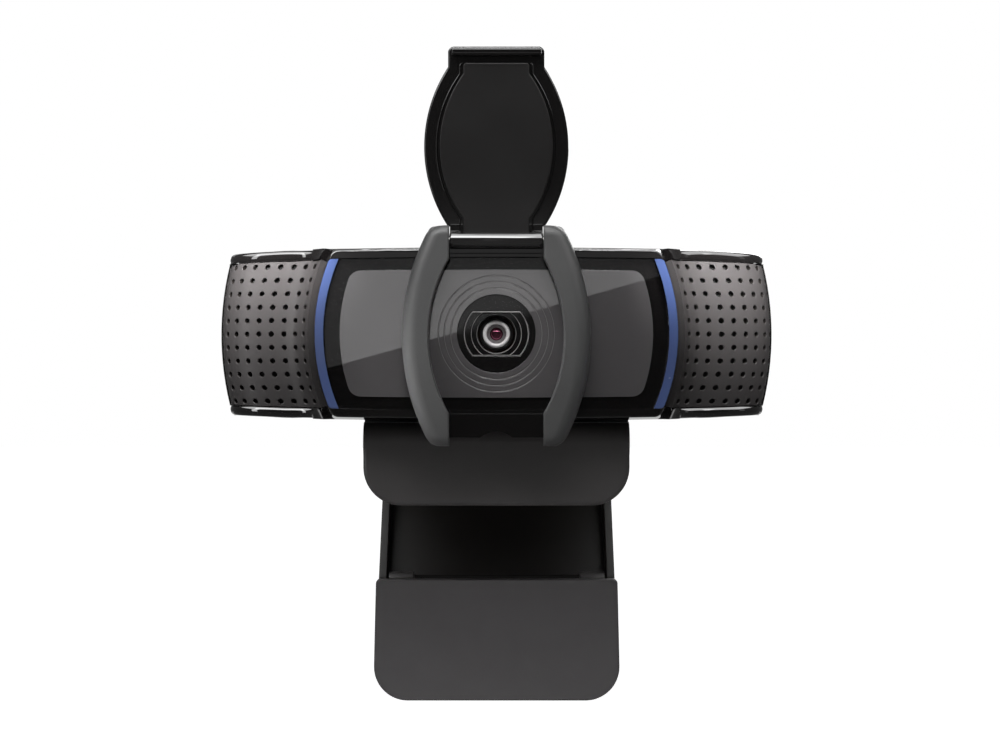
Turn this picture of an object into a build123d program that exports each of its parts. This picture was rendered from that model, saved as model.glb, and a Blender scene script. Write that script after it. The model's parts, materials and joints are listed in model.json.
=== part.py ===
from build123d import *
from math import asin, atan2, cos, degrees, radians, sin, sqrt
import os

# Webcam head with a flip-up privacy shutter on a folding monitor clip, in millimetres.
# X runs to the viewer's right, Y away from the viewer and Z up.
# The origin is the mouth of the tripod thread, on the underside of the clip's plate.
# The head's own pieces are drawn about the lens axis at the middle of its depth, then lifted onto the clip.

# Overall head
HEAD_WIDTH = 94.0
HEAD_HEIGHT = 29.0
HEAD_DEPTH = 24.0
CROWN_DROP = 0.8
CROWN_OVERRUN = 1.2
SHELL_WALL = 1.8
REAR_ROUND = 5.0
REAR_CORNER = 7.0

# Clearances
FIT_GAP = 0.05
SLIP_GAP = 0.15
RUN_GAP = 0.3
PRESS_GAP = 0.01
PIN_GAP = 0.05

# Wings: the plan curve of a wing is turned about an axis that lies this far beyond the lens axis
WING_AXIS_X = 2.7
WING_SETBACK = 6.9
WING_BROAD_SHARE = 0.72
WING_CORNER_SHARE = 0.304
WING_TURN = 45.0
WING_SWEEP = 34.0
WING_INNER_SETBACK = 3.0
GRILLE_RECESS = 0.4
GRILLE_SHEET = 0.9
GRILLE_REACH = 0.6
HOLE_RADIUS = 0.45
HOLE_SIDES = 8
HOLE_ROWS = 11
HOLE_COLUMNS_INWARD = 3
HOLE_COLUMNS = 9
ROW_SHARE = 0.0776
COLUMN_SHARE = 0.1348
COLUMN_SHIFT = 0.2
CLOTH_THICKNESS = 0.4

# Centre frame and what it holds, from the front to the back
FRAME_HALF = 30.9
FRAME_DEPTH = 5.5
FRAME_SIDE_SLOPE = 0.9
FRAME_TOP_SLOPE = 0.5
FRAME_CORNER = 1.6
FRAME_EDGE = 0.45
WINDOW_MARGIN_X = 2.4
WINDOW_MARGIN_Z = 1.9
WINDOW_INSET = 0.2
WINDOW_THICKNESS = 0.8
GUIDE_WIDTH = 1.4
GUIDE_STEM_HEIGHT = 4.0
PANEL_MARGIN_X = 5.0
PANEL_MARGIN_Z = 3.9
PANEL_CORNER = 2.2
PANEL_THICKNESS = 0.4
MASK_THICKNESS = 0.8
TRAY_THICKNESS = 1.2
LENS_HOLE_R = 6.5
RING_RADII = (7.55, 8.6, 9.6)
RING_WIDTH = 0.22
RING_DEPTH = 0.15

# Lens hood, moving lens group and focus housing
HOOD_DISC = 0.55
HOOD_TUBE_R = 5.8
HOOD_LENGTH = 4.7
HOOD_APERTURE_R = 5.3
HOOD_FLATS = 7.2
HOOD_APERTURE_DEPTH = 1.0
HOOD_BORE_R = 4.2
HOOD_THROAT_R = 3.3
HOOD_BORE_DEPTH = 1.9
HOOD_EDGE = 0.2
BARREL_R = 2.85
BARREL_LENGTH = 6.1
BARREL_BORE_R = 2.3
BARREL_CONE = 0.35
RETAINER_DEPTH = 0.9
RETAINER_MOUTH_R = 1.9
LENS_R = 1.25
LENS_THICKNESS = 0.9
REAR_LENS_R = 2.0
REAR_LENS_THICKNESS = 1.2
COIL_WALL = 0.5
COIL_LENGTH = 2.0
COIL_SETBACK = 3.1
FOCUS_BOX = 12.4
FOCUS_CAVITY_R = 3.95
FOCUS_LIP = 0.6
FOCUS_STOP = 0.5
FOCUS_REAR_POCKET = 8.6
FOCUS_POCKET_DEPTH = 1.4
MAGNET_WIDTH = 2.2
MAGNET_THICKNESS = 1.1
MAGNET_LENGTH = 2.6
MAGNET_RADIUS = 5.3
FILTER_SIZE = 7.0
FILTER_THICKNESS = 0.3
SENSOR_WIDTH = 8.0
SENSOR_HEIGHT = 6.4
SENSOR_THICKNESS = 0.7

# Boards and other inner pieces
BOARD_FRONT = 1.0
BOARD_THICKNESS = 1.2
BOARD_MARGIN = 2.4
SHIELD_WIDTH = 11.5
SHIELD_HEIGHT = 14.0
SHIELD_DEPTH = 2.0
SHIELD_X = 12.7
HEADER_WIDTH = 8.0
HEADER_HEIGHT = 5.0
HEADER_DEPTH = 3.0
HEADER_X = -9.0
LED_SIZE = 1.6
LED_HEIGHT = 0.7
SCREW_MARGIN_X = 8.9
SCREW_MARGIN_Z = 6.9
SCREW_R = 1.0
SCREW_HEAD_R = 1.9
SCREW_HEAD_HEIGHT = 1.2
SCREW_ENGAGEMENT = 6.0
BOSS_R = 2.4
MIC_SHARE = 0.348
MIC_R = 3.0
MIC_LENGTH = 2.6
BOOT_WALL = 0.8
BOOT_LENGTH = 3.7
BOOT_SETBACK = 0.9
GLAND_Z = -5.0
GLAND_BORE_R = 1.8
GLAND_NECK_R = 3.2
GLAND_FLANGE_R = 4.3
GLAND_FLANGE = 1.2

# Shutter frame and flap
ARM_FRONT = 4.4
ARM_RISE = 3.15
ARM_FALL = 4.0
ARM_GAP_HALF = 7.75
ARM_WAIST_HALF = 11.1
ARM_OUTER_HALF = 15.5
ARM_END_HALF = 10.8
ARM_STRAIGHT_TOP_MARGIN = 2.3
ARM_STRAIGHT_BOTTOM_MARGIN = 1.3
ARM_CORNER = 1.2
ARM_ROUND = 1.1
ARM_BACK_GAP = 0.2
HOOK_REACH = 4.8
HOOK_THICKNESS = 1.3
TOP_BAR_DROP = 1.3
TOP_BAR_THICKNESS = 0.8
BOTTOM_BAR_DROP = 2.6
BOTTOM_BAR_THICKNESS = 1.3
NOTCH_WIDTH = 5.3
NOTCH_HEIGHT = 1.0
FLAP_AXIS_RISE = 0.7
FLAP_BARREL_R = 1.25
FLAP_PIN_R = 0.6
FLAP_PIN_HALF = 9.8
FLAP_OVERHANG = 3.1
FLAP_TAB_LENGTH = 3.4
FLAP_TAB_HALF = 7.95
FLAP_WAIST_HALF = 11.9
FLAP_ROOT = 2.4
FLAP_NECK_ANGLE = 45.0
FLAP_THICKNESS = 1.3
FLAP_PANEL_RAISE = 0.7
FLAP_PANEL_HALF = 9.3
FLAP_PANEL_END_HALF = 5.4
FLAP_PANEL_MARGIN = 1.2
FLAP_BEAD_HEIGHT = 1.5
FLAP_BEAD_LENGTH = 1.7
FLAP_EDGE = 0.4

# Tilt hinge between the head and the clip
ROLL_R = 3.5
TILT_AXIS_Y = -25.0
TILT_AXIS_Z = 3.0
HEAD_SETBACK = 1.0
TILT_PIN_R = 0.9
LUG_R = 2.0
LUG_INNER = 3.6
LUG_OUTER = 7.0
LUG_NECK = 2.0
WASHER_THICKNESS = 0.5
WASHER_R = 1.8
LUG_SIDE_GAP = 0.6
ROLL_NOTCH_RISE = 1.0
BRACKET_HALF = 9.0
BRACKET_DEPTH = 9.0
BRACKET_THICKNESS = 1.2

# Clip plate, lip, leg and foot
LEG_HALF = 21.7
CLIP_MARGIN = 0.7
PLATE_MARGIN = 0.3
PAD_MARGIN = 3.7
PLATE_THICKNESS = 2.8
LIP_DROP = 7.5
LIP_THICKNESS = 2.4
LIP_CORNER = 6.4
LIP_EDGE = 0.7
LIP_PAD_THICKNESS = 0.8
LIP_PAD_MARGIN = 1.0
SEAT_PAD_DEPTH = 14.0
SEAT_PAD_RECESS = 0.5
SEAT_PAD_PROUD = 0.3
SEAT_PAD_CORNER = 1.6
INSERT_R = 4.2
INSERT_LENGTH = 6.0
THREAD_R = 2.6
THREAD_LENGTH = 5.4
BOSS_WALL = 1.9
LEG_AXIS_Y = 30.0
LEG_AXIS_Z = -4.9
KNUCKLE_R = 2.6
KNUCKLE_SIDE_GAP = 0.4
REAR_WALL = 3.4
LEG_LENGTH = 26.7
LEG_LEAN = 43.8
LEG_SIDE_WALL = 1.5
LEG_WEB = 1.5
LEG_PIN_R = 1.25
FOOT_PIN_R = 1.0
FOOT_TOP_MARGIN = 0.4
FOOT_BOTTOM_MARGIN = 0.9
FOOT_RISE = 1.3
FOOT_DROP = 20.9
FOOT_CORNER = 6.2
FOOT_TOP_CORNER = 0.8
FOOT_PLATE = 1.4
FOOT_PAD_THICKNESS = 0.9
FOOT_PAD_EDGE = 0.35
FOOT_LUG_WIDTH = 4.6

# Places worked out from the sizes above
front_y = -HEAD_DEPTH / 2
rear_y = HEAD_DEPTH / 2
half_height = HEAD_HEIGHT / 2
end_x = HEAD_WIDTH / 2
wing_width = end_x - FRAME_HALF
wing_main_r = wing_width * WING_BROAD_SHARE
wing_corner_r = wing_width * WING_CORNER_SHARE
turn_share = sin(radians(WING_TURN))
valley_x = end_x - wing_main_r * turn_share - wing_corner_r * (1 - turn_share)
valley_y = front_y + WING_SETBACK
mic_x = FRAME_HALF + wing_width * MIC_SHARE
hollow_r = valley_x - FRAME_HALF - 2 * FIT_GAP - GRILLE_RECESS
wing_inner_y = front_y + WING_INNER_SETBACK
seam_y = front_y + FRAME_DEPTH
window_front = front_y + WINDOW_INSET
window_back = window_front + WINDOW_THICKNESS
panel_front = window_back + SLIP_GAP
panel_back = panel_front + PANEL_THICKNESS
mask_back = panel_back + MASK_THICKNESS
tray_back = mask_back + TRAY_THICKNESS
window_half = FRAME_HALF - WINDOW_MARGIN_X
window_height = HEAD_HEIGHT - 2 * WINDOW_MARGIN_Z
panel_half = FRAME_HALF - PANEL_MARGIN_X
panel_height = HEAD_HEIGHT - 2 * PANEL_MARGIN_Z
hood_front = mask_back - HOOD_DISC
hood_back = hood_front + HOOD_LENGTH
barrel_front = hood_front + HOOD_APERTURE_DEPTH + HOOD_BORE_DEPTH - SLIP_GAP
board_back = BOARD_FRONT + BOARD_THICKNESS
board_half = FRAME_HALF
screw_x = FRAME_HALF - SCREW_MARGIN_X
screw_z = half_height - SCREW_MARGIN_Z
board_half_height = half_height - SHELL_WALL - BOARD_MARGIN
arm_top = half_height + ARM_RISE
arm_bottom = half_height + ARM_FALL
straight_top = half_height - ARM_STRAIGHT_TOP_MARGIN
straight_bottom = half_height - ARM_STRAIGHT_BOTTOM_MARGIN
arm_back = front_y - ARM_BACK_GAP
arm_front = arm_back - ARM_FRONT + ARM_BACK_GAP
hook_top = half_height + ARM_BACK_GAP
top_bar_front = arm_back - TOP_BAR_THICKNESS
flap_axis_y = top_bar_front - RUN_GAP - FLAP_BARREL_R
flap_axis_z = half_height + FLAP_AXIS_RISE
flap_length = HEAD_HEIGHT + FLAP_OVERHANG
flap_face = flap_axis_y - (arm_front - RUN_GAP)
flap_back = flap_face + FLAP_THICKNESS
wing_axis = Axis((-WING_AXIS_X, 0, 0), (0, 1, 0))
head_place = Pos(0, TILT_AXIS_Y + HEAD_SETBACK, TILT_AXIS_Z + ROLL_R + RUN_GAP + half_height)
tilt_y = -HEAD_SETBACK
tilt_z = -half_height - RUN_GAP - ROLL_R
clip_half = LEG_HALF + CLIP_MARGIN
plate_half = LEG_HALF + PLATE_MARGIN
pad_half = LEG_HALF - PAD_MARGIN
knuckle_half = LEG_HALF - LEG_SIDE_WALL - KNUCKLE_SIDE_GAP
lip_front = TILT_AXIS_Y - ROLL_R
lip_back = lip_front + LIP_THICKNESS
leg_place = Pos(0, LEG_AXIS_Y, LEG_AXIS_Z) * Rot(-LEG_LEAN, 0, 0)
foot_y = LEG_AXIS_Y - LEG_LENGTH * sin(radians(LEG_LEAN))
foot_z = LEG_AXIS_Z - LEG_LENGTH * cos(radians(LEG_LEAN))
foot_place = Pos(0, foot_y, foot_z)
foot_plate_back = -KNUCKLE_R - RUN_GAP
foot_plate_front = foot_plate_back - FOOT_PLATE
foot_pad_front = foot_plate_front - FOOT_PAD_THICKNESS


def front_prism(sketch, y_front, y_back):
    """A front-view outline (X, Z) carried from one depth to another."""
    return extrude(Plane.XZ.offset(-y_back) * sketch, y_back - y_front)


def side_prism(sketch, x_low, x_high):
    """A side-view outline (Y, Z) carried from one X to another."""
    return extrude(Plane.YZ.offset(x_low) * sketch, x_high - x_low)


def block(x_low, x_high, y_low, y_high, z_low, z_high):
    """A plain block given by its limits."""
    size = (x_high - x_low, y_high - y_low, z_high - z_low)
    middle = ((x_low + x_high) / 2, (y_low + y_high) / 2, (z_low + z_high) / 2)
    return Pos(*middle) * Box(*size)


def rod_y(radius, y_low, y_high, x=0.0, z=0.0):
    """A round rod along Y."""
    return Pos(x, (y_low + y_high) / 2, z) * Rot(90, 0, 0) * Cylinder(radius, y_high - y_low)


def rod_x(radius, x_low, x_high, y=0.0, z=0.0):
    """A round rod along X."""
    return Pos((x_low + x_high) / 2, y, z) * Rot(0, 90, 0) * Cylinder(radius, x_high - x_low)


def closed_face(*edges):
    """A face inside edges that follow one another."""
    return make_face(Curve() + list(edges))


def mirrored(shape):
    """The same piece on the other side of the lens axis."""
    return mirror(shape, about=Plane.YZ)


def four_corners(x, z):
    """Places at the four corners of a rectangle about the lens axis."""
    return [(sx * x, sz * z) for sx in (-1, 1) for sz in (-1, 1)]


def crown_z(x, inset):
    """Height of the head's crowned top at a given X."""
    return half_height - inset - CROWN_DROP * (x / end_x) ** 2


def crowned_outline(inset):
    """Front-view slab between the crowned top and bottom, wider than the head."""
    side = end_x * CROWN_OVERRUN
    top = ThreePointArc((-side, crown_z(side, inset)), (0, crown_z(0, inset)), (side, crown_z(side, inset)))
    low = ThreePointArc((side, -crown_z(side, inset)), (0, -crown_z(0, inset)), (-side, -crown_z(side, inset)))
    return closed_face(top, Line(top @ 1, low @ 0), low, Line(low @ 1, top @ 0))


def crown_slab(inset):
    """Everything between the crowned top and bottom."""
    return front_prism(crowned_outline(inset), -HEAD_DEPTH, HEAD_DEPTH)


def rear_rounded_slab(inset):
    """Everything inside the head's side view, with rounded rear edges."""
    y_rear = rear_y - inset
    z_top = half_height - inset
    radius = REAR_ROUND - inset
    outline = Pos((y_rear - HEAD_DEPTH) / 2, 0) * Rectangle(HEAD_DEPTH + y_rear, 2 * z_top)
    outline = fillet(outline.vertices().group_by(Axis.X)[-1], radius)
    return side_prism(outline, -HEAD_WIDTH, HEAD_WIDTH)


def wing_start(inset):
    """Where a wing's hollow begins beside the centre frame."""
    radius = hollow_r + inset
    drop = wing_inner_y - (valley_y - hollow_r)
    return (valley_x - sqrt(radius**2 - drop**2), wing_inner_y)


def wing_curve(inset, y_end):
    """Plan curve of a wing's front: the hollow, the broad face, the turned end and a straight run back."""
    start = Vector(*wing_start(inset))
    hollow_centre = Vector(valley_x, valley_y - hollow_r)
    start_angle = degrees(atan2(start.Y - hollow_centre.Y, start.X - hollow_centre.X))
    hollow = CenterArc(hollow_centre, hollow_r + inset, start_angle, 90 - start_angle)
    main_centre = Vector(valley_x, valley_y + wing_main_r)
    broad = CenterArc(main_centre, wing_main_r - inset, -90, WING_TURN)
    corner_shift = wing_main_r - wing_corner_r
    corner_centre = main_centre + Vector(turn_share, -cos(radians(WING_TURN))) * corner_shift
    turned = CenterArc(corner_centre, wing_corner_r - inset, WING_TURN - 90, 90 - WING_TURN)
    run_back = Line(turned @ 1, (end_x - inset, y_end))
    return [hollow, broad, turned, run_back]


def wing_band(outer_inset, inner_inset, y_end):
    """Plan face of a sheet that follows a wing, clear of the centre frame's side."""
    outer = wing_curve(outer_inset, y_end)
    inner = wing_curve(inner_inset, y_end)
    joins = [Line(outer[0] @ 0, inner[0] @ 0), Line(outer[-1] @ 1, inner[-1] @ 1)]
    face = closed_face(*outer, *inner, *joins)
    clear_x = FRAME_HALF + FIT_GAP
    return face & Pos(clear_x + end_x / 2, 0) * Rectangle(end_x, 2 * HEAD_DEPTH)


def wing_turned(face):
    """A plan face turned up and down about the wing's axis."""
    solid = revolve(face, axis=wing_axis, revolution_arc=2 * WING_SWEEP)
    return solid.rotate(wing_axis, -WING_SWEEP)


def grille_end():
    """Depth at which the grille gives way to the housing's side wall."""
    return valley_y + wing_main_r * (1 - turn_share) + wing_corner_r * turn_share + GRILLE_REACH


def housing_envelope(inset, y_front):
    """The rear housing's outline, shrunk by a wall where asked."""
    core_half = FRAME_HALF - REAR_CORNER
    curve = wing_curve(inset, rear_y - REAR_CORNER)
    start = curve[0] @ 0
    corner_centre = Vector(end_x - REAR_CORNER, rear_y - REAR_CORNER)
    rear_arc = CenterArc(corner_centre, REAR_CORNER - inset, 0, 90)
    inner_x = core_half - REAR_CORNER / 2
    step_x = min(start.X, FRAME_HALF + FIT_GAP)
    ring = Polyline(
        rear_arc @ 1,
        (inner_x, rear_y - inset),
        (inner_x, y_front),
        (step_x, y_front),
        (start.X, start.Y),
    )
    wing = wing_turned(closed_face(*curve, rear_arc, ring))
    core = block(-core_half, core_half, y_front, rear_y - inset, -HEAD_HEIGHT, HEAD_HEIGHT)
    whole = core + wing + mirrored(wing)
    return whole & crown_slab(inset) & rear_rounded_slab(inset)


def make_rear_housing():
    """Gloss shell: top, bottom, ends and back in one moulding, open at the front and at both wings."""
    shell = housing_envelope(0, seam_y) - housing_envelope(SHELL_WALL, seam_y - SHELL_WALL)
    mouth_low = FRAME_HALF + FIT_GAP / 2
    mouth_end = grille_end() + FIT_GAP
    mouth_face = Pos(mouth_low + end_x / 2, mouth_end + front_y) * Rectangle(end_x, HEAD_DEPTH)
    mouth = wing_turned(mouth_face) & crown_slab(SHELL_WALL)
    shell = shell - mouth - mirrored(mouth)
    wall_in = rear_y - SHELL_WALL
    for x, z in four_corners(screw_x, screw_z):
        shell += rod_y(BOSS_R, board_back, wall_in, x, z)
    for side in (-1, 1):
        shell += rod_y(MIC_R, mic_boot_back(), wall_in, side * mic_x, 0)
    for x, z in four_corners(screw_x, screw_z):
        shell -= rod_y(SCREW_R + SLIP_GAP, board_back, rear_y, x, z)
        shell -= rod_y(SCREW_HEAD_R + SLIP_GAP, rear_y - SCREW_HEAD_HEIGHT, rear_y, x, z)
    shell -= rod_y(GLAND_NECK_R + FIT_GAP, wall_in, rear_y, 0, GLAND_Z)
    for low in (-LUG_OUTER, LUG_INNER):
        high = low + LUG_OUTER - LUG_INNER
        neck = LUG_NECK / 2 + SLIP_GAP
        slot_y = (tilt_y - neck, tilt_y + neck)
        shell -= block(low - SLIP_GAP, high + SLIP_GAP, *slot_y, -HEAD_HEIGHT, -half_height / 2)
    return shell


def frame_outline(half_width, height, corner):
    """Front-view outline with crowned top and bottom and bowed sides about the wing axes."""
    radius = half_width + WING_AXIS_X
    top_z = height / 2
    reach = sqrt(radius**2 - top_z**2) - WING_AXIS_X
    fall = CROWN_DROP * (reach / end_x) ** 2
    edge_z = top_z - fall
    edge_x = sqrt(radius**2 - edge_z**2) - WING_AXIS_X
    top = ThreePointArc((-edge_x, edge_z), (0, top_z), (edge_x, edge_z))
    right = ThreePointArc((edge_x, edge_z), (half_width, 0), (edge_x, -edge_z))
    low = ThreePointArc((edge_x, -edge_z), (0, -top_z), (-edge_x, -edge_z))
    left = ThreePointArc((-edge_x, -edge_z), (-half_width, 0), (-edge_x, edge_z))
    face = closed_face(top, right, low, left)
    return fillet(face.vertices(), corner)


def make_front_frame():
    """Gloss centre frame with a tray that carries the window stack and four screw posts."""
    back = Plane.XZ.offset(-seam_y) * frame_outline(FRAME_HALF, HEAD_HEIGHT, FRAME_CORNER)
    front_height = HEAD_HEIGHT - 2 * FRAME_TOP_SLOPE
    front = Plane.XZ.offset(-front_y) * frame_outline(FRAME_HALF - FRAME_SIDE_SLOPE, front_height, FRAME_CORNER)
    frame = loft([back, front], ruled=True)
    rim = frame.faces().sort_by(Axis.Y)[0]
    frame = fillet(rim.edges(), FRAME_EDGE)
    opening_half = window_half + GUIDE_WIDTH + 2 * FIT_GAP
    opening = frame_outline(opening_half, window_height + 2 * FIT_GAP, FRAME_CORNER / 2)
    frame -= front_prism(opening, front_y, mask_back)
    hollow = frame_outline(window_half - FRAME_CORNER, window_height - 2 * FRAME_CORNER, FRAME_CORNER)
    frame -= front_prism(hollow, tray_back, seam_y)
    frame -= rod_y(HOOD_TUBE_R + FIT_GAP, mask_back, tray_back)
    for side in (-1, 1):
        stem_x = side * guide_middle()
        frame -= front_prism(guide_stem(stem_x, FIT_GAP), mask_back, seam_y)
    for x, z in four_corners(screw_x, screw_z):
        frame += rod_y(BOSS_R, tray_back, BOARD_FRONT, x, z)
        frame -= rod_y(SCREW_R + PRESS_GAP, tray_back + TRAY_THICKNESS, BOARD_FRONT, x, z)
    return frame


def guide_middle():
    """X of the middle of a light guide at the lens height."""
    return window_half + FIT_GAP + GUIDE_WIDTH / 2


def guide_stem(x, gap):
    """Front-view outline of the stem that feeds a light guide from its lamp."""
    return Pos(x, 0) * Rectangle(GUIDE_WIDTH + 2 * gap, GUIDE_STEM_HEIGHT + 2 * gap)


def make_light_guide():
    """Bowed light guide beside the window, with a stem that reaches back to its lamp."""
    corner = FRAME_CORNER / 2
    whole = frame_outline(window_half + FIT_GAP + GUIDE_WIDTH, window_height, corner)
    inside = frame_outline(window_half + FIT_GAP, window_height + corner, corner)
    right = Pos(end_x / 2, 0) * Rectangle(end_x, HEAD_HEIGHT)
    guide = front_prism((whole & right) - inside, window_front, mask_back - FIT_GAP)
    stem_end = BOARD_FRONT - LED_HEIGHT - SLIP_GAP
    return guide + front_prism(guide_stem(guide_middle(), 0), mask_back - FIT_GAP, stem_end)


def make_front_window():
    """Clear front window."""
    outline = frame_outline(window_half, window_height, FRAME_CORNER / 2)
    return front_prism(outline, window_front, window_back)


def make_window_mask():
    """Black plate behind the window, with the lens opening."""
    outline = frame_outline(window_half, window_height, FRAME_CORNER / 2)
    return front_prism(outline, panel_back, mask_back) - rod_y(LENS_HOLE_R, panel_back, mask_back)


def make_face_panel():
    """Grey inlay with three fine grooves round the lens opening."""
    panel = front_prism(frame_outline(panel_half, panel_height, PANEL_CORNER), panel_front, panel_back)
    panel -= rod_y(LENS_HOLE_R, panel_front, panel_back)
    for radius in RING_RADII:
        ring = Circle(radius + RING_WIDTH / 2) - Circle(radius - RING_WIDTH / 2)
        panel -= front_prism(ring, panel_front, panel_front + RING_DEPTH)
    return panel


def make_lens_hood():
    """Black hood: a flat-sided round aperture in a disc, then a stepped tube down to the lens."""
    disc = rod_y(LENS_HOLE_R - FIT_GAP, hood_front, mask_back)
    hood = disc + rod_y(HOOD_TUBE_R, mask_back, hood_back)
    aperture = Circle(HOOD_APERTURE_R) & Rectangle(2 * LENS_HOLE_R, HOOD_FLATS)
    aperture_back = hood_front + HOOD_APERTURE_DEPTH
    hood -= front_prism(aperture, hood_front, aperture_back)
    bore_back = aperture_back + HOOD_BORE_DEPTH
    hood -= rod_y(HOOD_BORE_R, aperture_back, bore_back) & front_prism(aperture, aperture_back, bore_back)
    hood -= rod_y(HOOD_THROAT_R, bore_back, hood_back)
    front_face = hood.faces().filter_by(Axis.Y).sort_by(Axis.Y)[0]
    return chamfer(front_face.inner_wires()[0].edges(), HOOD_EDGE)


def turned_about_lens(points):
    """A ring or plug turned about the lens axis, from (radius, depth) corners."""
    return revolve(make_face(Polyline(*points, close=True)), axis=Axis.Y)


def make_lens_barrel():
    """Moving barrel with a coned front edge and a stepped bore."""
    back = barrel_front + BARREL_LENGTH
    seat = barrel_front + RETAINER_DEPTH + LENS_THICKNESS
    rear_seat = back - REAR_LENS_THICKNESS
    return turned_about_lens([
        (BARREL_BORE_R, barrel_front),
        (BARREL_R - BARREL_CONE, barrel_front),
        (BARREL_R, barrel_front + BARREL_CONE),
        (BARREL_R, back),
        (REAR_LENS_R + PRESS_GAP, back),
        (REAR_LENS_R + PRESS_GAP, rear_seat),
        (LENS_R, rear_seat),
        (LENS_R, seat),
        (BARREL_BORE_R, seat),
    ])


def make_lens_retainer():
    """Bright retaining ring with a coned mouth."""
    back = barrel_front + RETAINER_DEPTH
    outer = BARREL_BORE_R - PRESS_GAP
    return turned_about_lens([(RETAINER_MOUTH_R, barrel_front), (outer, barrel_front), (outer, back), (LENS_R, back)])


def lens_dome(radius, y_front, y_back, rise):
    """A lens: a plug with a domed front."""
    dome_r = (radius**2 + rise**2) / (2 * rise)
    ball = Pos(0, y_front - rise + dome_r, 0) * Sphere(dome_r)
    return rod_y(radius, y_front - rise, y_back) & (ball + rod_y(radius, y_front, y_back))


def make_front_lens():
    """Front glass, seated behind its retaining ring."""
    seat = barrel_front + RETAINER_DEPTH + PRESS_GAP
    rise = RETAINER_DEPTH / 2
    plug = lens_dome(LENS_R, seat, seat + LENS_THICKNESS, rise)
    return plug + rod_y(BARREL_BORE_R - PRESS_GAP, seat, seat + LENS_THICKNESS - PRESS_GAP)


def make_rear_lens():
    """Rear glass at the back of the barrel."""
    back = barrel_front + BARREL_LENGTH
    return rod_y(REAR_LENS_R, back - REAR_LENS_THICKNESS, back)


def make_focus_coil():
    """Voice coil wound round the barrel."""
    low = barrel_front + COIL_SETBACK
    high = low + COIL_LENGTH
    return rod_y(BARREL_R + COIL_WALL, low, high) - rod_y(BARREL_R + PRESS_GAP, low, high)


def magnet_blocks(gap):
    """Four drive magnets in the corners of the focus housing."""
    low = barrel_front + COIL_SETBACK - gap
    size = Box(MAGNET_WIDTH + 2 * gap, MAGNET_LENGTH + 2 * gap, MAGNET_THICKNESS + 2 * gap)
    block_at = Pos(0, low + MAGNET_LENGTH / 2 + gap, MAGNET_RADIUS) * size
    return [Rot(0, 45 + 90 * turn, 0) * block_at for turn in range(4)]


def make_focus_housing():
    """Box that guides the lens barrel and stands on the board over the image sensor."""
    half = FOCUS_BOX / 2
    box = block(-half, half, hood_back + FIT_GAP, BOARD_FRONT, -half, half)
    pocket_front = BOARD_FRONT - FOCUS_POCKET_DEPTH
    pocket = FOCUS_REAR_POCKET / 2
    box -= block(-pocket, pocket, pocket_front, BOARD_FRONT, -pocket, pocket)
    box -= rod_y(BARREL_R + SLIP_GAP, hood_back, BOARD_FRONT)
    box -= rod_y(FOCUS_CAVITY_R, hood_back + FIT_GAP + FOCUS_LIP, pocket_front - FOCUS_STOP)
    for magnet in magnet_blocks(PRESS_GAP):
        box -= magnet
    return box


def make_ir_filter():
    """Infra-red filter on the ledge in front of the sensor."""
    half = FILTER_SIZE / 2
    low = BOARD_FRONT - FOCUS_POCKET_DEPTH
    return block(-half, half, low, low + FILTER_THICKNESS, -half, half)


def make_image_sensor():
    """Image sensor on the front of the board."""
    half_width = SENSOR_WIDTH / 2
    half_tall = SENSOR_HEIGHT / 2
    return block(-half_width, half_width, BOARD_FRONT - SENSOR_THICKNESS, BOARD_FRONT, -half_tall, half_tall)


def make_main_board():
    """Circuit board clamped between the housing's bosses and the frame's posts."""
    z = board_half_height
    board = block(-board_half, board_half, BOARD_FRONT, board_back, -z, z)
    board = fillet(board.edges().filter_by(Axis.Y), FRAME_CORNER)
    for x, z in four_corners(screw_x, screw_z):
        board -= rod_y(SCREW_R + SLIP_GAP, BOARD_FRONT, board_back, x, z)
    return board


def board_box(x, z, width, height, depth):
    """A box-shaped part on the back of the board."""
    return block(x - width / 2, x + width / 2, board_back, board_back + depth, z - height / 2, z + height / 2)


def make_status_leds():
    """Two lamps on the board, one behind each light guide's stem."""
    lamps = []
    for side in (-1, 1):
        x = side * guide_middle()
        half = LED_SIZE / 2
        lamps.append(block(x - half, x + half, BOARD_FRONT - LED_HEIGHT, BOARD_FRONT, -half, half))
    return lamps


def mic_front():
    """Depth of a microphone boot's front, behind the grille cloth."""
    return valley_y + GRILLE_RECESS + GRILLE_SHEET + CLOTH_THICKNESS + FIT_GAP + BOOT_SETBACK


def mic_boot_back():
    """Depth at which a microphone boot stands on its post."""
    return mic_front() + BOOT_LENGTH


def make_mic_boot():
    """Rubber boot round a microphone, on its post."""
    outer = rod_y(MIC_R + BOOT_WALL, mic_front(), mic_boot_back(), mic_x, 0)
    return outer - rod_y(MIC_R + PRESS_GAP, mic_front(), mic_front() + SLIP_GAP + MIC_LENGTH, mic_x, 0)


def make_microphone():
    """Microphone capsule in its boot."""
    low = mic_front() + SLIP_GAP
    return rod_y(MIC_R, low, low + MIC_LENGTH, mic_x, 0)


def make_cable_gland():
    """Rubber gland in the rear wall, with the bore that the cable comes out of."""
    wall_in = rear_y - SHELL_WALL
    gland = rod_y(GLAND_NECK_R, wall_in, rear_y, 0, GLAND_Z)
    outer = rod_y(GLAND_FLANGE_R, rear_y, rear_y + GLAND_FLANGE, 0, GLAND_Z)
    outer = fillet(outer.edges().sort_by(Axis.Y)[-1], GLAND_FLANGE / 2)
    gland += outer
    gland += rod_y(GLAND_FLANGE_R, wall_in - GLAND_FLANGE, wall_in, 0, GLAND_Z)
    return gland - rod_y(GLAND_BORE_R, wall_in - GLAND_FLANGE, rear_y + GLAND_FLANGE, 0, GLAND_Z)


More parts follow.
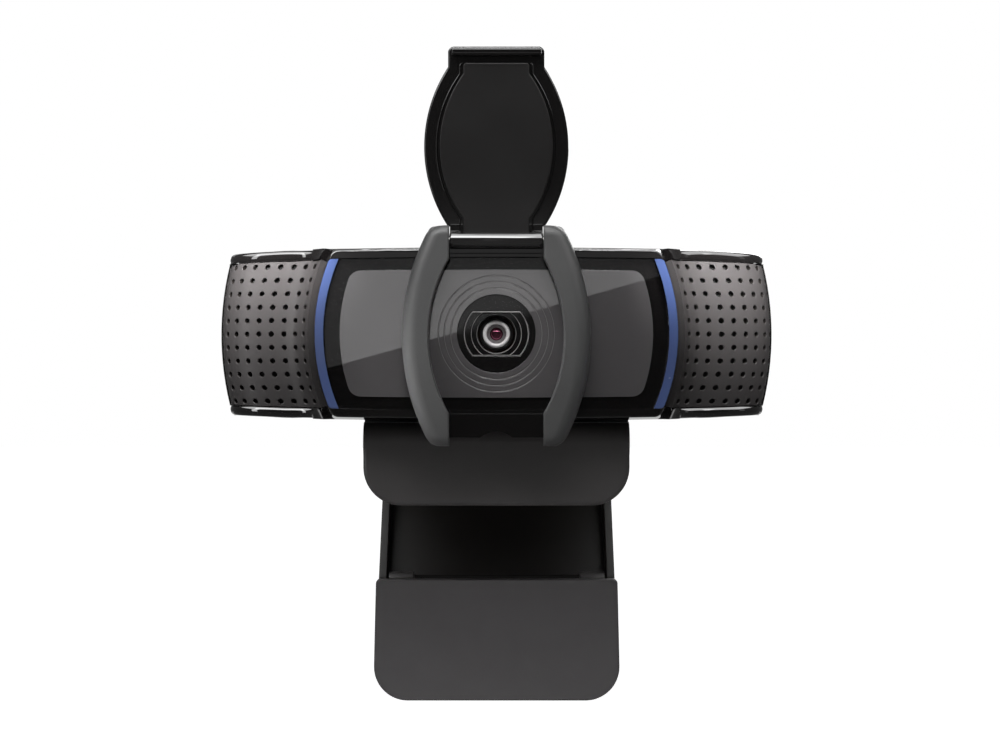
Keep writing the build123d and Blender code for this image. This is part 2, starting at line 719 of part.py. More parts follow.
def make_housing_screws():
    """Four screws that clamp the housing, the board and the centre frame together."""
    head_low = rear_y - SCREW_HEAD_HEIGHT
    screws = []
    for x, z in four_corners(screw_x, screw_z):
        shank = rod_y(SCREW_R, BOARD_FRONT - SCREW_ENGAGEMENT, head_low, x, z)
        screws.append(shank + rod_y(SCREW_HEAD_R, head_low, rear_y - SLIP_GAP, x, z))
    return screws


def make_grille():
    """Perforated sheet of a wing: rows of holes square to the turned sheet."""
    outer_inset = GRILLE_RECESS
    sheet = wing_turned(wing_band(outer_inset, outer_inset + GRILLE_SHEET, grille_end()))
    sheet = sheet & crown_slab(SHELL_WALL + FIT_GAP)
    curve = wing_curve(outer_inset, grille_end())
    path = Wire(curve)
    valley_at = curve[0].length
    holes = []
    for column in range(HOLE_COLUMNS):
        along = valley_at + (column - HOLE_COLUMNS_INWARD + COLUMN_SHIFT) * wing_width * COLUMN_SHARE
        point = path.position_at(along, position_mode=PositionMode.LENGTH)
        tangent = path.tangent_at(along, position_mode=PositionMode.LENGTH)
        radius = point.X + WING_AXIS_X
        for row in range(HOLE_ROWS):
            z = (row - (HOLE_ROWS - 1) / 2) * HEAD_HEIGHT * ROW_SHARE
            turn = asin(z / radius)
            centre = (radius * cos(turn) - WING_AXIS_X, point.Y, z)
            outward = Vector(tangent.Y * cos(turn), -tangent.X, tangent.Y * sin(turn))
            mouth = Plane(origin=centre, z_dir=outward)
            holes.append(extrude(mouth * RegularPolygon(HOLE_RADIUS, HOLE_SIDES), GRILLE_SHEET * 2, both=True))
    return sheet.cut(*holes)


def make_grille_cloth():
    """Acoustic cloth that lines the grille."""
    low = GRILLE_RECESS + GRILLE_SHEET + FIT_GAP
    cloth = wing_turned(wing_band(low, low + CLOTH_THICKNESS, grille_end()))
    return cloth & crown_slab(SHELL_WALL + FIT_GAP)


def make_tilt_bracket():
    """Bracket inside the head's floor, with two lugs that reach down to the tilt axis."""
    top = -crown_z(BRACKET_HALF, SHELL_WALL) + FIT_GAP
    half_depth = BRACKET_DEPTH / 2
    bracket = block(-BRACKET_HALF, BRACKET_HALF, tilt_y - half_depth, tilt_y + half_depth, top, top + BRACKET_THICKNESS)
    for low in (-LUG_OUTER, LUG_INNER):
        high = low + LUG_OUTER - LUG_INNER
        neck = LUG_NECK / 2
        bracket += block(low, high, tilt_y - neck, tilt_y + neck, tilt_z, top)
        bracket += rod_x(LUG_R, low, high, tilt_y, tilt_z)
    return bracket - rod_x(TILT_PIN_R + PIN_GAP, -LUG_OUTER, LUG_OUTER, tilt_y, tilt_z)


def arm_outline():
    """Front-view outline of the right-hand arm of the shutter frame."""
    middle = (arm_top - arm_bottom) / 2
    outer = ThreePointArc((ARM_END_HALF, arm_top), (ARM_OUTER_HALF, middle), (ARM_END_HALF, -arm_bottom))
    foot = Line((ARM_END_HALF, -arm_bottom), (ARM_GAP_HALF, -arm_bottom))
    low_run = Line((ARM_GAP_HALF, -arm_bottom), (ARM_GAP_HALF, -straight_bottom))
    waist = ThreePointArc(
        (ARM_GAP_HALF, -straight_bottom), (ARM_WAIST_HALF, middle), (ARM_GAP_HALF, straight_top)
    )
    high_run = Line((ARM_GAP_HALF, straight_top), (ARM_GAP_HALF, arm_top))
    head = Line((ARM_GAP_HALF, arm_top), (ARM_END_HALF, arm_top))
    face = closed_face(outer, foot, low_run, waist, high_run, head)
    tips = [corner for corner in face.vertices() if abs(corner.X - ARM_END_HALF) < FIT_GAP]
    return fillet(tips, ARM_CORNER)


def make_shutter_frame():
    """Clip-on shutter frame: two bowed arms joined by bars that hook over the head's top and bottom."""
    arm = front_prism(arm_outline(), arm_front, arm_back)
    outer_edge = arm.faces().sort_by(Axis.Y)[0].edges().sort_by(Axis.X)[-1]
    arm = fillet(outer_edge, ARM_ROUND)
    hook_back = arm_back + HOOK_REACH
    hook_low = hook_top + HOOK_THICKNESS
    arm += block(ARM_GAP_HALF, ARM_END_HALF, arm_back - FIT_GAP, hook_back, hook_top, hook_low)
    arm += block(ARM_GAP_HALF, ARM_END_HALF, arm_back - FIT_GAP, hook_back, -hook_low, -hook_top)
    frame = arm + mirrored(arm)
    span = ARM_GAP_HALF + FIT_GAP
    frame += block(-span, span, top_bar_front, arm_back, half_height - TOP_BAR_DROP, hook_low)
    frame += block(-span, span, top_bar_front, hook_back, hook_top, hook_low)
    bottom_front = arm_back - BOTTOM_BAR_THICKNESS
    bottom_low = -half_height - BOTTOM_BAR_DROP
    bottom_bar = block(-span, span, bottom_front, arm_back, bottom_low, -half_height + TOP_BAR_DROP)
    notch_r = (NOTCH_WIDTH**2 / 4 + NOTCH_HEIGHT**2) / (2 * NOTCH_HEIGHT)
    bottom_bar -= rod_y(notch_r, bottom_front, arm_back, 0, bottom_low + NOTCH_HEIGHT - notch_r)
    frame += bottom_bar
    frame += block(-span, span, bottom_front, hook_back, -hook_low, -hook_top)
    return frame - rod_x(FLAP_PIN_R + PRESS_GAP, -FLAP_PIN_HALF, FLAP_PIN_HALF, flap_axis_y, flap_axis_z)


def make_shutter_pin():
    """Steel pin that the flap turns on."""
    return rod_x(FLAP_PIN_R, -FLAP_PIN_HALF, FLAP_PIN_HALF, flap_axis_y, flap_axis_z)


def flap_outline():
    """Front-view outline of the open flap above its hinge axis."""
    tab_low = flap_length - FLAP_TAB_LENGTH
    middle = (FLAP_ROOT + tab_low) / 2
    corner = FLAP_BEAD_LENGTH / 2
    right = ThreePointArc((FLAP_TAB_HALF, FLAP_ROOT), (FLAP_WAIST_HALF, middle), (FLAP_TAB_HALF, tab_low))
    left = ThreePointArc((-FLAP_TAB_HALF, tab_low), (-FLAP_WAIST_HALF, middle), (-FLAP_TAB_HALF, FLAP_ROOT))
    tab = Polyline(right @ 1, (FLAP_TAB_HALF, flap_length), (-FLAP_TAB_HALF, flap_length), left @ 0)
    face = closed_face(right, tab, left, Line(left @ 1, right @ 0))
    return fillet(face.vertices().group_by(Axis.Y)[-1], corner)


def flap_panel_outline():
    """Front-view outline of the raised panel on the flap's inner side."""
    low = FLAP_ROOT + FLAP_PANEL_MARGIN
    high = flap_length - FLAP_TAB_LENGTH - FLAP_PANEL_MARGIN / 2
    middle = (low + high) / 2
    half = FLAP_PANEL_END_HALF
    right = ThreePointArc((half, low), (FLAP_PANEL_HALF, middle), (half, high))
    left = ThreePointArc((-half, high), (-FLAP_PANEL_HALF, middle), (-half, low))
    face = closed_face(right, Line(right @ 1, left @ 0), left, Line(left @ 1, right @ 0))
    return fillet(face.vertices(), FLAP_PANEL_MARGIN)


def flap_neck_outline():
    """Side-view outline of the neck between the flap's barrel and its plate."""
    reach = FLAP_BARREL_R * sin(radians(FLAP_NECK_ANGLE))
    rise = FLAP_ROOT + FLAP_PANEL_MARGIN
    clear = HOOK_THICKNESS + ARM_BACK_GAP + RUN_GAP - FLAP_AXIS_RISE
    return make_face(Polyline(
        (-reach, reach),
        (0, rise),
        (flap_back, rise),
        (flap_back, FLAP_ROOT - FLAP_EDGE),
        (FLAP_BARREL_R, clear),
        (reach, 0),
        close=True,
    ))


def make_shutter_flap():
    """Privacy flap, drawn open: barrel, neck, bowed plate with a raised panel and a beaded finger tab."""
    plate = front_prism(flap_outline(), flap_face, flap_back)
    plate = fillet(plate.faces().sort_by(Axis.Y)[-1].outer_wire().edges(), FLAP_EDGE)
    plate += front_prism(flap_panel_outline(), flap_face - FLAP_PANEL_RAISE, flap_face)
    bead_half = FLAP_TAB_HALF - FLAP_BEAD_LENGTH / 2
    bead_low = flap_length - FLAP_BEAD_LENGTH
    bead = block(-bead_half, bead_half, flap_face - FLAP_BEAD_HEIGHT, flap_face, bead_low, flap_length - FLAP_EDGE)
    bead = fillet(bead.faces().sort_by(Axis.Y)[0].edges(), FLAP_EDGE)
    half = ARM_GAP_HALF - RUN_GAP
    root = side_prism(flap_neck_outline(), -half, half) + rod_x(FLAP_BARREL_R, -half, half)
    flap = plate + bead + root - rod_x(FLAP_PIN_R + PIN_GAP, -half, half)
    return Pos(0, flap_axis_y, flap_axis_z) * flap


def lip_outline():
    """Front-view outline of the lip, square at the top and rounded at the bottom."""
    outline = Pos(0, (TILT_AXIS_Z - LIP_DROP) / 2) * Rectangle(2 * clip_half, TILT_AXIS_Z + LIP_DROP)
    return fillet(outline.vertices().group_by(Axis.Y)[0], LIP_CORNER)


def plate_side_outline():
    """Side-view outline of the plate and the wall that turns down to the leg's hinge."""
    rear = LEG_AXIS_Y + KNUCKLE_R
    wall_in = rear - REAR_WALL
    outer_r = PLATE_THICKNESS + KNUCKLE_R / 2
    inner_r = KNUCKLE_R / 2
    outline = make_face(Polyline(
        (TILT_AXIS_Y, 0),
        (TILT_AXIS_Y, PLATE_THICKNESS),
        (rear, PLATE_THICKNESS),
        (rear, LEG_AXIS_Z),
        (wall_in, LEG_AXIS_Z),
        (wall_in, 0),
        close=True,
    ))
    top_corner = outline.vertices().sort_by_distance((rear, PLATE_THICKNESS))[0]
    outline = fillet(top_corner, outer_r)
    low_corner = outline.vertices().sort_by_distance((wall_in, 0))[0]
    return fillet(low_corner, inner_r)


def make_clip_base():
    """Clip plate with the front lip, the roll that the head tilts on, the thread boss and the leg's knuckle."""
    plate = side_prism(plate_side_outline(), -plate_half, plate_half)
    ear_room = KNUCKLE_R + 2 * RUN_GAP
    side_low = knuckle_half
    ear_y = LEG_AXIS_Y + KNUCKLE_R
    for side in (-1, 1):
        edges = sorted((side * side_low, side * (plate_half + FIT_GAP)))
        plate -= block(*edges, LEG_AXIS_Y - ear_room * 2, ear_y + FIT_GAP, LEG_AXIS_Z * 2, LEG_AXIS_Z + ear_room)
    base = plate + rod_x(KNUCKLE_R, -knuckle_half, knuckle_half, LEG_AXIS_Y, LEG_AXIS_Z)
    lip = front_prism(lip_outline(), lip_front, lip_back)
    lip = fillet(lip.faces().sort_by(Axis.Y)[0].edges().sort_by(Axis.Z)[:-1], LIP_EDGE)
    roll = rod_x(ROLL_R, -clip_half, clip_half, TILT_AXIS_Y, TILT_AXIS_Z)
    roll = roll & block(-clip_half, clip_half, -HEAD_WIDTH, 0, 0, HEAD_WIDTH)
    base += lip + roll
    boss_r = INSERT_R + BOSS_WALL
    boss = Pos(0, 0, (INSERT_LENGTH + BOSS_WALL) / 2) * Cylinder(boss_r, INSERT_LENGTH + BOSS_WALL)
    base += fillet(boss.edges().sort_by(Axis.Z)[-1], BOSS_WALL / 2)
    base -= Pos(0, 0, INSERT_LENGTH / 2) * Cylinder(INSERT_R + PRESS_GAP, INSERT_LENGTH)
    for low in (-LUG_OUTER - LUG_SIDE_GAP, LUG_INNER - LUG_SIDE_GAP):
        high = low + LUG_OUTER - LUG_INNER + 2 * LUG_SIDE_GAP
        base -= rod_x(LUG_R + RUN_GAP, low, high, TILT_AXIS_Y, TILT_AXIS_Z)
        notch_low = TILT_AXIS_Z + ROLL_NOTCH_RISE
        base -= block(low, high, lip_front - ROLL_R, TILT_AXIS_Y + ROLL_R, notch_low, TILT_AXIS_Z + ROLL_R)
    base -= rod_x(TILT_PIN_R + PRESS_GAP, -clip_half, clip_half, TILT_AXIS_Y, TILT_AXIS_Z)
    base -= rod_x(LEG_PIN_R + PRESS_GAP, -knuckle_half, knuckle_half, LEG_AXIS_Y, LEG_AXIS_Z)
    return base - seat_pad_block(FIT_GAP)


def seat_pad_block(gap):
    """The pad let into the plate's underside, or the pocket for it."""
    low = TILT_AXIS_Y + ROLL_R - gap
    half = pad_half + gap
    pad = block(-half, half, low, low + SEAT_PAD_DEPTH + 2 * gap, -SEAT_PAD_PROUD, SEAT_PAD_RECESS)
    return fillet(pad.edges().filter_by(Axis.Z), SEAT_PAD_CORNER)


def make_lip_pad():
    """Rubber pad on the lip's inner face."""
    outline = lip_outline() & Rectangle(2 * pad_half, 2 * (LIP_DROP - LIP_PAD_MARGIN))
    outline = outline & Pos(0, -LIP_DROP / 2 - LIP_PAD_MARGIN) * Rectangle(2 * clip_half, LIP_DROP)
    return front_prism(outline, lip_back, lip_back + LIP_PAD_THICKNESS)


def make_tripod_insert():
    """Brass insert with the tripod thread."""
    insert = Pos(0, 0, INSERT_LENGTH / 2) * Cylinder(INSERT_R, INSERT_LENGTH)
    return insert - Pos(0, 0, THREAD_LENGTH / 2) * Cylinder(THREAD_R, THREAD_LENGTH)


def make_tilt_pin():
    """Steel pin through the roll and the head's lugs."""
    return rod_x(TILT_PIN_R, -clip_half + SLIP_GAP, clip_half - SLIP_GAP, TILT_AXIS_Y, TILT_AXIS_Z)


def make_tilt_washers():
    """Friction washers outside the two lugs."""
    washers = []
    low = LUG_OUTER + (LUG_SIDE_GAP - WASHER_THICKNESS) / 2
    for start in (low, -low - WASHER_THICKNESS):
        washer = rod_x(WASHER_R, start, start + WASHER_THICKNESS, TILT_AXIS_Y, TILT_AXIS_Z)
        bore = rod_x(TILT_PIN_R + PRESS_GAP, start, start + WASHER_THICKNESS, TILT_AXIS_Y, TILT_AXIS_Z)
        washers.append(washer - bore)
    return washers


def make_leg_pin():
    """Steel pin of the leg's hinge."""
    return rod_x(LEG_PIN_R, -LEG_HALF, LEG_HALF, LEG_AXIS_Y, LEG_AXIS_Z)


def make_clip_leg():
    """Channel-shaped leg, drawn hanging down and then leaned forward: two side walls and a back web."""
    side = SlotCenterToCenter(LEG_LENGTH, 2 * KNUCKLE_R)
    side = Pos(0, -LEG_LENGTH / 2) * Rot(0, 0, 90) * side
    wall_in = LEG_HALF - LEG_SIDE_WALL
    leg = side_prism(side, wall_in, LEG_HALF)
    leg += side_prism(side, -LEG_HALF, -wall_in)
    web_top = KNUCKLE_R + 3 * RUN_GAP
    web_low = KNUCKLE_R + RUN_GAP
    leg += block(-wall_in, wall_in, KNUCKLE_R - LEG_WEB, KNUCKLE_R, web_low - LEG_LENGTH, -web_top)
    leg -= rod_x(LEG_PIN_R + PIN_GAP, -LEG_HALF, LEG_HALF)
    leg -= rod_x(FOOT_PIN_R + PRESS_GAP, -LEG_HALF, LEG_HALF, 0, -LEG_LENGTH)
    return leg_place * leg


def make_foot_pin():
    """Steel pin of the foot's hinge."""
    return foot_place * rod_x(FOOT_PIN_R, -LEG_HALF, LEG_HALF)


def foot_outline(margin):
    """Front-view outline of the foot below and just above its hinge."""
    top = LEG_HALF + FOOT_TOP_MARGIN - margin
    low = LEG_HALF + FOOT_BOTTOM_MARGIN - margin
    z_top = FOOT_RISE - margin
    z_low = -FOOT_DROP + margin
    face = make_face(Polyline((-top, z_top), (top, z_top), (low, z_low), (-low, z_low), close=True))
    face = fillet(face.vertices().group_by(Axis.Y)[0], FOOT_CORNER - margin)
    return fillet(face.vertices().group_by(Axis.Y)[-1], FOOT_TOP_CORNER)


def make_clip_foot():
    """Foot plate with two lugs that hang on the leg's pin."""
    foot = front_prism(foot_outline(0), foot_plate_front, foot_plate_back)
    lug_out = LEG_HALF - LEG_SIDE_WALL - RUN_GAP
    lug_in = lug_out - FOOT_LUG_WIDTH
    for low in (-lug_out, lug_in):
        high = low + FOOT_LUG_WIDTH
        foot += rod_x(KNUCKLE_R - RUN_GAP, low, high)
        foot += block(low, high, foot_plate_back - FIT_GAP, 0, RUN_GAP - KNUCKLE_R, FOOT_RISE)
    return foot_place * (foot - rod_x(FOOT_PIN_R + PIN_GAP, -LEG_HALF, LEG_HALF))


def make_foot_pad():
    """Rubber face of the foot."""
    pad = front_prism(foot_outline(0), foot_pad_front, foot_plate_front)
    pad = fillet(pad.faces().sort_by(Axis.Y)[0].edges(), FOOT_PAD_EDGE)
    return foot_place * pad


def build_head():
    """Every piece of the head, drawn about the lens axis."""
    pieces = {
        "rear_housing": make_rear_housing(),
        "front_frame": make_front_frame(),
        "front_window": make_front_window(),
        "window_mask": make_window_mask(),
        "face_panel": make_face_panel(),
        "lens_hood": make_lens_hood(),
        "lens_barrel": make_lens_barrel(),
        "lens_retainer": make_lens_retainer(),
        "front_lens": make_front_lens(),
        "rear_lens": make_rear_lens(),
        "focus_coil": make_focus_coil(),
        "focus_magnets": magnet_blocks(0),
        "focus_housing": make_focus_housing(),
        "ir_filter": make_ir_filter(),
        "image_sensor": make_image_sensor(),
        "main_board": make_main_board(),
        "shield_can": board_box(SHIELD_X, 0, SHIELD_WIDTH, SHIELD_HEIGHT, SHIELD_DEPTH),
        "cable_header": board_box(HEADER_X, GLAND_Z, HEADER_WIDTH, HEADER_HEIGHT, HEADER_DEPTH),
        "status_leds": make_status_leds(),
        "cable_gland": make_cable_gland(),
        "housing_screws": make_housing_screws(),
        "tilt_bracket": make_tilt_bracket(),
        "shutter_frame": make_shutter_frame(),
        "shutter_pin": make_shutter_pin(),
        "shutter_flap": make_shutter_flap(),
    }
    paired = {
        "grille": make_grille(),
        "grille_cloth": make_grille_cloth(),
        "light_guide": make_light_guide(),
        "mic_boot": make_mic_boot(),
        "microphone": make_microphone(),
    }
    for name, piece in paired.items():
        pieces["right_" + name] = piece
        pieces["left_" + name] = mirrored(piece)
    return pieces


def build_clip():
    """Every piece of the clip, drawn in place."""
    return {
        "clip_base": make_clip_base(),
        "lip_pad": make_lip_pad(),
        "seat_pad": seat_pad_block(0),
        "tripod_insert": make_tripod_insert(),
        "tilt_pin": make_tilt_pin(),
        "tilt_washers": make_tilt_washers(),
        "leg_pin": make_leg_pin(),
        "clip_leg": make_clip_leg(),
        "foot_pin": make_foot_pin(),
        "clip_foot": make_clip_foot(),
        "foot_pad": make_foot_pad(),
    }


def solids_of(piece):
    """The separate solids of a piece or of a list of pieces."""
    if isinstance(piece, list):
        return [solid for item in piece for solid in item.solids()]
    return list(piece.solids())


def write_piece(name, piece, place):
    """Write one piece, moved to its place on the whole webcam."""
    placed = [place * solid for solid in solids_of(piece)]
    shape = placed[0] if len(placed) == 1 else Compound(children=placed)
    export_step(shape, os.path.join("parts", name + ".step"))


os.makedirs("parts", exist_ok=True)
for node, shape in build_head().items():
    write_piece(node, shape, head_place)
for node, shape in build_clip().items():
    write_piece(node, shape, Pos(0, 0, 0))
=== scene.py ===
import json
import logging
import math
from abc import ABC, abstractmethod
from dataclasses import dataclass
from enum import Enum
from functools import cache
from itertools import product
from typing import Any, Callable

import bmesh
import bpy
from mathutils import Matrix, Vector
from mathutils.geometry import delaunay_2d_cdt


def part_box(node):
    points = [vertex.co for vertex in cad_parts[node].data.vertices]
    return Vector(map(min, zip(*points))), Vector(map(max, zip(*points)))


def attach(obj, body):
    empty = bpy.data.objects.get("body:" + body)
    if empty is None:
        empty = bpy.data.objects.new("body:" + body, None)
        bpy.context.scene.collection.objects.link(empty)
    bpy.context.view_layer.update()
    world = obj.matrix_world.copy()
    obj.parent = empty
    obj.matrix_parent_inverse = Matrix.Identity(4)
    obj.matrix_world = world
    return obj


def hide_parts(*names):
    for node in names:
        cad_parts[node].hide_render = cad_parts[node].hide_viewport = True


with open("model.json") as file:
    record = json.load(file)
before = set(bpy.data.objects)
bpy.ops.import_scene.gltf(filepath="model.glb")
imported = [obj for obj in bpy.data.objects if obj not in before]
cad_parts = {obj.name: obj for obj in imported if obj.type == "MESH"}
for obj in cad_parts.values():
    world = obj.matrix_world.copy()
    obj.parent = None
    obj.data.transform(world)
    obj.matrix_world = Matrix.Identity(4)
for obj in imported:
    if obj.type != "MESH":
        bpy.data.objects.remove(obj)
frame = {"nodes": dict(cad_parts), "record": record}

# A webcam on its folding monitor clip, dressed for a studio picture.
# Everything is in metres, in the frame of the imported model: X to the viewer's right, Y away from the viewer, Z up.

Flat = tuple[float, float]
Piece = bpy.types.Object
Shape = bmesh.types.BMesh
Socket = bpy.types.NodeSocket
Tree = bpy.types.NodeTree
FaceZone = Callable[[Vector, Vector], bool]
Shift = Callable[[Vector], Vector]

log = logging.getLogger("webcam")

MM = 0.001
WELD = 0.002 * MM
FLAT_DEG = 0.4
TURNED_CORNER_DEG = 35.0
SHEET_CORNER_DEG = 30.0
ALL_SMOOTH_DEG = 180.0
BEAD_SIDES = 10
ROUND_SEGMENTS = 3
CHAMFER = 0.3
FACES_VIEWER = -0.9
NOISE_LOW = 0.3
NOISE_HIGH = 0.7
WHITE = (1.0, 1.0, 1.0, 1.0)
ACROSS = Vector((1.0, 0.0, 0.0))
AWAY = Vector((0.0, 1.0, 0.0))
UP = Vector((0.0, 0.0, 1.0))


class Side(Enum):
    """The two sides of the head, as the viewer sees them."""

    LEFT = -1
    RIGHT = 1

    @property
    def word(self) -> str:
        """The side's name as it stands in a node's name."""
        return self.name.lower()


class Grain(Enum):
    """How the small relief of a moulded surface is drawn."""

    POLISHED = "polished"
    SPARKED = "sparked"


def linear(code: str) -> tuple[float, float, float, float]:
    """Turn an sRGB hex colour into linear light.

    Args:
        code: The colour as six hex digits after a hash.

    Returns:
        Linear red, green and blue, with an alpha of one.
    """
    parts = [int(code[start:start + 2], 16) / 255 for start in (1, 3, 5)]
    light = [c / 12.92 if c <= 0.04045 else ((c + 0.055) / 1.055) ** 2.4 for c in parts]
    return (*light, 1.0)


def add_node(tree: Tree, kind: str, settings: dict[str, Any], inputs: dict[Any, Any]) -> bpy.types.Node:
    """Add one shader node with its settings and links.

    Args:
        tree: The node tree to add to.
        kind: The node's Blender type.
        settings: Properties of the node.
        inputs: Socket name or number, with a value or with the socket to link from.

    Returns:
        The new node.
    """
    node = tree.nodes.new(kind)
    for key, value in settings.items():
        setattr(node, key, value)
    for key, value in inputs.items():
        if isinstance(value, Socket):
            tree.links.new(value, node.inputs[key])
        else:
            node.inputs[key].default_value = value
    return node


def blank_material(name: str) -> tuple[bpy.types.Material, Tree]:
    """Make a material with an empty node tree.

    Args:
        name: The material's name.

    Returns:
        The material and its node tree.
    """
    material = bpy.data.materials.new(name)
    material.use_nodes = True
    material.node_tree.nodes.clear()
    return material, material.node_tree


@dataclass(frozen=True)
class Finish(ABC):
    """A surface that makes its own material, with its pattern in the object's own coordinates."""

    name: str
    colour: str

    def material(self) -> bpy.types.Material:
        """Make the material.

        Returns:
            The finished material.
        """
        material, tree = blank_material(self.name)
        place = add_node(tree, "ShaderNodeTexCoord", {}, {}).outputs["Object"]
        add_node(tree, "ShaderNodeOutputMaterial", {}, {"Surface": self.shade(tree, place)})
        return material

    @abstractmethod
    def shade(self, tree: Tree, place: Socket) -> Socket:
        """Add the surface's own nodes.

        Args:
            tree: The material's node tree.
            place: The coordinates that patterns use.

        Returns:
            The surface's shader.
        """


@dataclass(frozen=True)
class MouldedPlastic(Finish):
    """A moulded plastic or rubber: soft patches vary its colour and gloss, and a fine grain gives its relief."""

    patch: str
    roughness: Flat
    grain: Grain = Grain.SPARKED
    grain_mm: float = 0.35
    grain_height_mm: float = 0.012
    patch_mm: float = 9.0
    ior: float = 1.5
    metallic: float = 0.0
    coat: float = 0.0
    coat_roughness: float = 0.04

    def shade(self, tree: Tree, place: Socket) -> Socket:
        """Patches, and a grain where the mould was sparked.

        Args:
            tree: The material's node tree.
            place: The coordinates that patterns use.

        Returns:
            The surface's shader.
        """
        patches = add_node(tree, "ShaderNodeTexNoise", {}, {
            "Vector": place, "Scale": 1 / (self.patch_mm * MM), "Detail": 3.0, "Roughness": 0.55})
        colour = add_node(tree, "ShaderNodeMix", {"data_type": "RGBA"}, {
            "Factor": patches.outputs["Fac"], "A": linear(self.colour), "B": linear(self.patch)})
        rough = add_node(tree, "ShaderNodeMapRange", {}, {
            "Value": patches.outputs["Fac"], "From Min": NOISE_LOW, "From Max": NOISE_HIGH,
            "To Min": self.roughness[0], "To Max": self.roughness[1]})
        sockets = {
            "Base Color": colour.outputs["Result"], "Roughness": rough.outputs["Result"], "IOR": self.ior,
            "Metallic": self.metallic, "Coat Weight": self.coat, "Coat Roughness": self.coat_roughness}
        if self.grain is Grain.SPARKED:
            relief = add_node(tree, "ShaderNodeTexNoise", {}, {
                "Vector": place, "Scale": 1 / (self.grain_mm * MM), "Detail": 2.0, "Roughness": 0.6})
            bump = add_node(tree, "ShaderNodeBump", {}, {
                "Height": relief.outputs["Fac"], "Strength": 1.0, "Distance": self.grain_height_mm * MM})
            sockets["Normal"] = bump.outputs["Normal"]
        return add_node(tree, "ShaderNodeBsdfPrincipled", {}, sockets).outputs["BSDF"]


@dataclass(frozen=True)
class WorkedMetal(Finish):
    """A metal whose tool marks run along one direction."""

    patch: str
    roughness: Flat
    line_mm: float = 0.12
    stretch: tuple[float, float, float] = (0.05, 1.0, 1.0)
    line_height_mm: float = 0.004

    def shade(self, tree: Tree, place: Socket) -> Socket:
        """Fine drawn-out lines.

        Args:
            tree: The material's node tree.
            place: The coordinates that patterns use.

        Returns:
            The surface's shader.
        """
        along = add_node(tree, "ShaderNodeMapping", {}, {"Vector": place, "Scale": self.stretch})
        lines = add_node(tree, "ShaderNodeTexNoise", {}, {
            "Vector": along.outputs["Vector"], "Scale": 1 / (self.line_mm * MM), "Detail": 3.0})
        colour = add_node(tree, "ShaderNodeMix", {"data_type": "RGBA"}, {
            "Factor": lines.outputs["Fac"], "A": linear(self.colour), "B": linear(self.patch)})
        rough = add_node(tree, "ShaderNodeMapRange", {}, {
            "Value": lines.outputs["Fac"], "From Min": NOISE_LOW, "From Max": NOISE_HIGH,
            "To Min": self.roughness[0], "To Max": self.roughness[1]})
        bump = add_node(tree, "ShaderNodeBump", {}, {
            "Height": lines.outputs["Fac"], "Distance": self.line_height_mm * MM})
        return add_node(tree, "ShaderNodeBsdfPrincipled", {}, {
            "Base Color": colour.outputs["Result"], "Metallic": 1.0, "Roughness": rough.outputs["Result"],
            "Normal": bump.outputs["Normal"]}).outputs["BSDF"]


@dataclass(frozen=True)
class WovenCloth(Finish):
    """A fine woven cloth: two sets of threads that cross."""

    gap: str
    thread_mm: float

    def shade(self, tree: Tree, place: Socket) -> Socket:
        """Threads over dark gaps.

        Args:
            tree: The material's node tree.
            place: The coordinates that patterns use.

        Returns:
            The surface's shader.
        """
        scale = 1 / (self.thread_mm * MM) / 2
        threads = [
            add_node(tree, "ShaderNodeTexWave", {"bands_direction": way}, {"Vector": place, "Scale": scale})
            for way in ("X", "Z")]
        weave = add_node(tree, "ShaderNodeMath", {"operation": "MAXIMUM"}, {
            at: thread.outputs["Fac"] for at, thread in enumerate(threads)})
        colour = add_node(tree, "ShaderNodeMix", {"data_type": "RGBA"}, {
            "Factor": weave.outputs["Value"], "A": linear(self.gap), "B": linear(self.colour)})
        bump = add_node(tree, "ShaderNodeBump", {}, {
            "Height": weave.outputs["Value"], "Distance": self.thread_mm * MM / 4})
        return add_node(tree, "ShaderNodeBsdfPrincipled", {}, {
            "Base Color": colour.outputs["Result"], "Roughness": 0.9, "Sheen Weight": 0.2,
            "Normal": bump.outputs["Normal"]}).outputs["BSDF"]


@dataclass(frozen=True)
class ClearSheet(Finish):
    """A clear cast sheet: it lets light straight through and mirrors a little of it at its face."""

    ior: float
    roughness: Flat
    wipe_mm: float

    def shade(self, tree: Tree, place: Socket) -> Socket:
        """A clear body under a mirror with faint wipe marks.

        Args:
            tree: The material's node tree.
            place: The coordinates that patterns use.

        Returns:
            The surface's shader.
        """
        wipes = add_node(tree, "ShaderNodeTexNoise", {}, {
            "Vector": place, "Scale": 1 / (self.wipe_mm * MM), "Detail": 2.0})
        rough = add_node(tree, "ShaderNodeMapRange", {}, {
            "Value": wipes.outputs["Fac"], "To Min": self.roughness[0], "To Max": self.roughness[1]})
        gloss = add_node(tree, "ShaderNodeBsdfGlossy", {}, {"Color": WHITE, "Roughness": rough.outputs["Result"]})
        clear = add_node(tree, "ShaderNodeBsdfTransparent", {}, {"Color": linear(self.colour)})
        share = add_node(tree, "ShaderNodeFresnel", {}, {"IOR": self.ior})
        return add_node(tree, "ShaderNodeMixShader", {}, {
            0: share.outputs["Fac"], 1: clear.outputs["BSDF"], 2: gloss.outputs["BSDF"]}).outputs["Shader"]


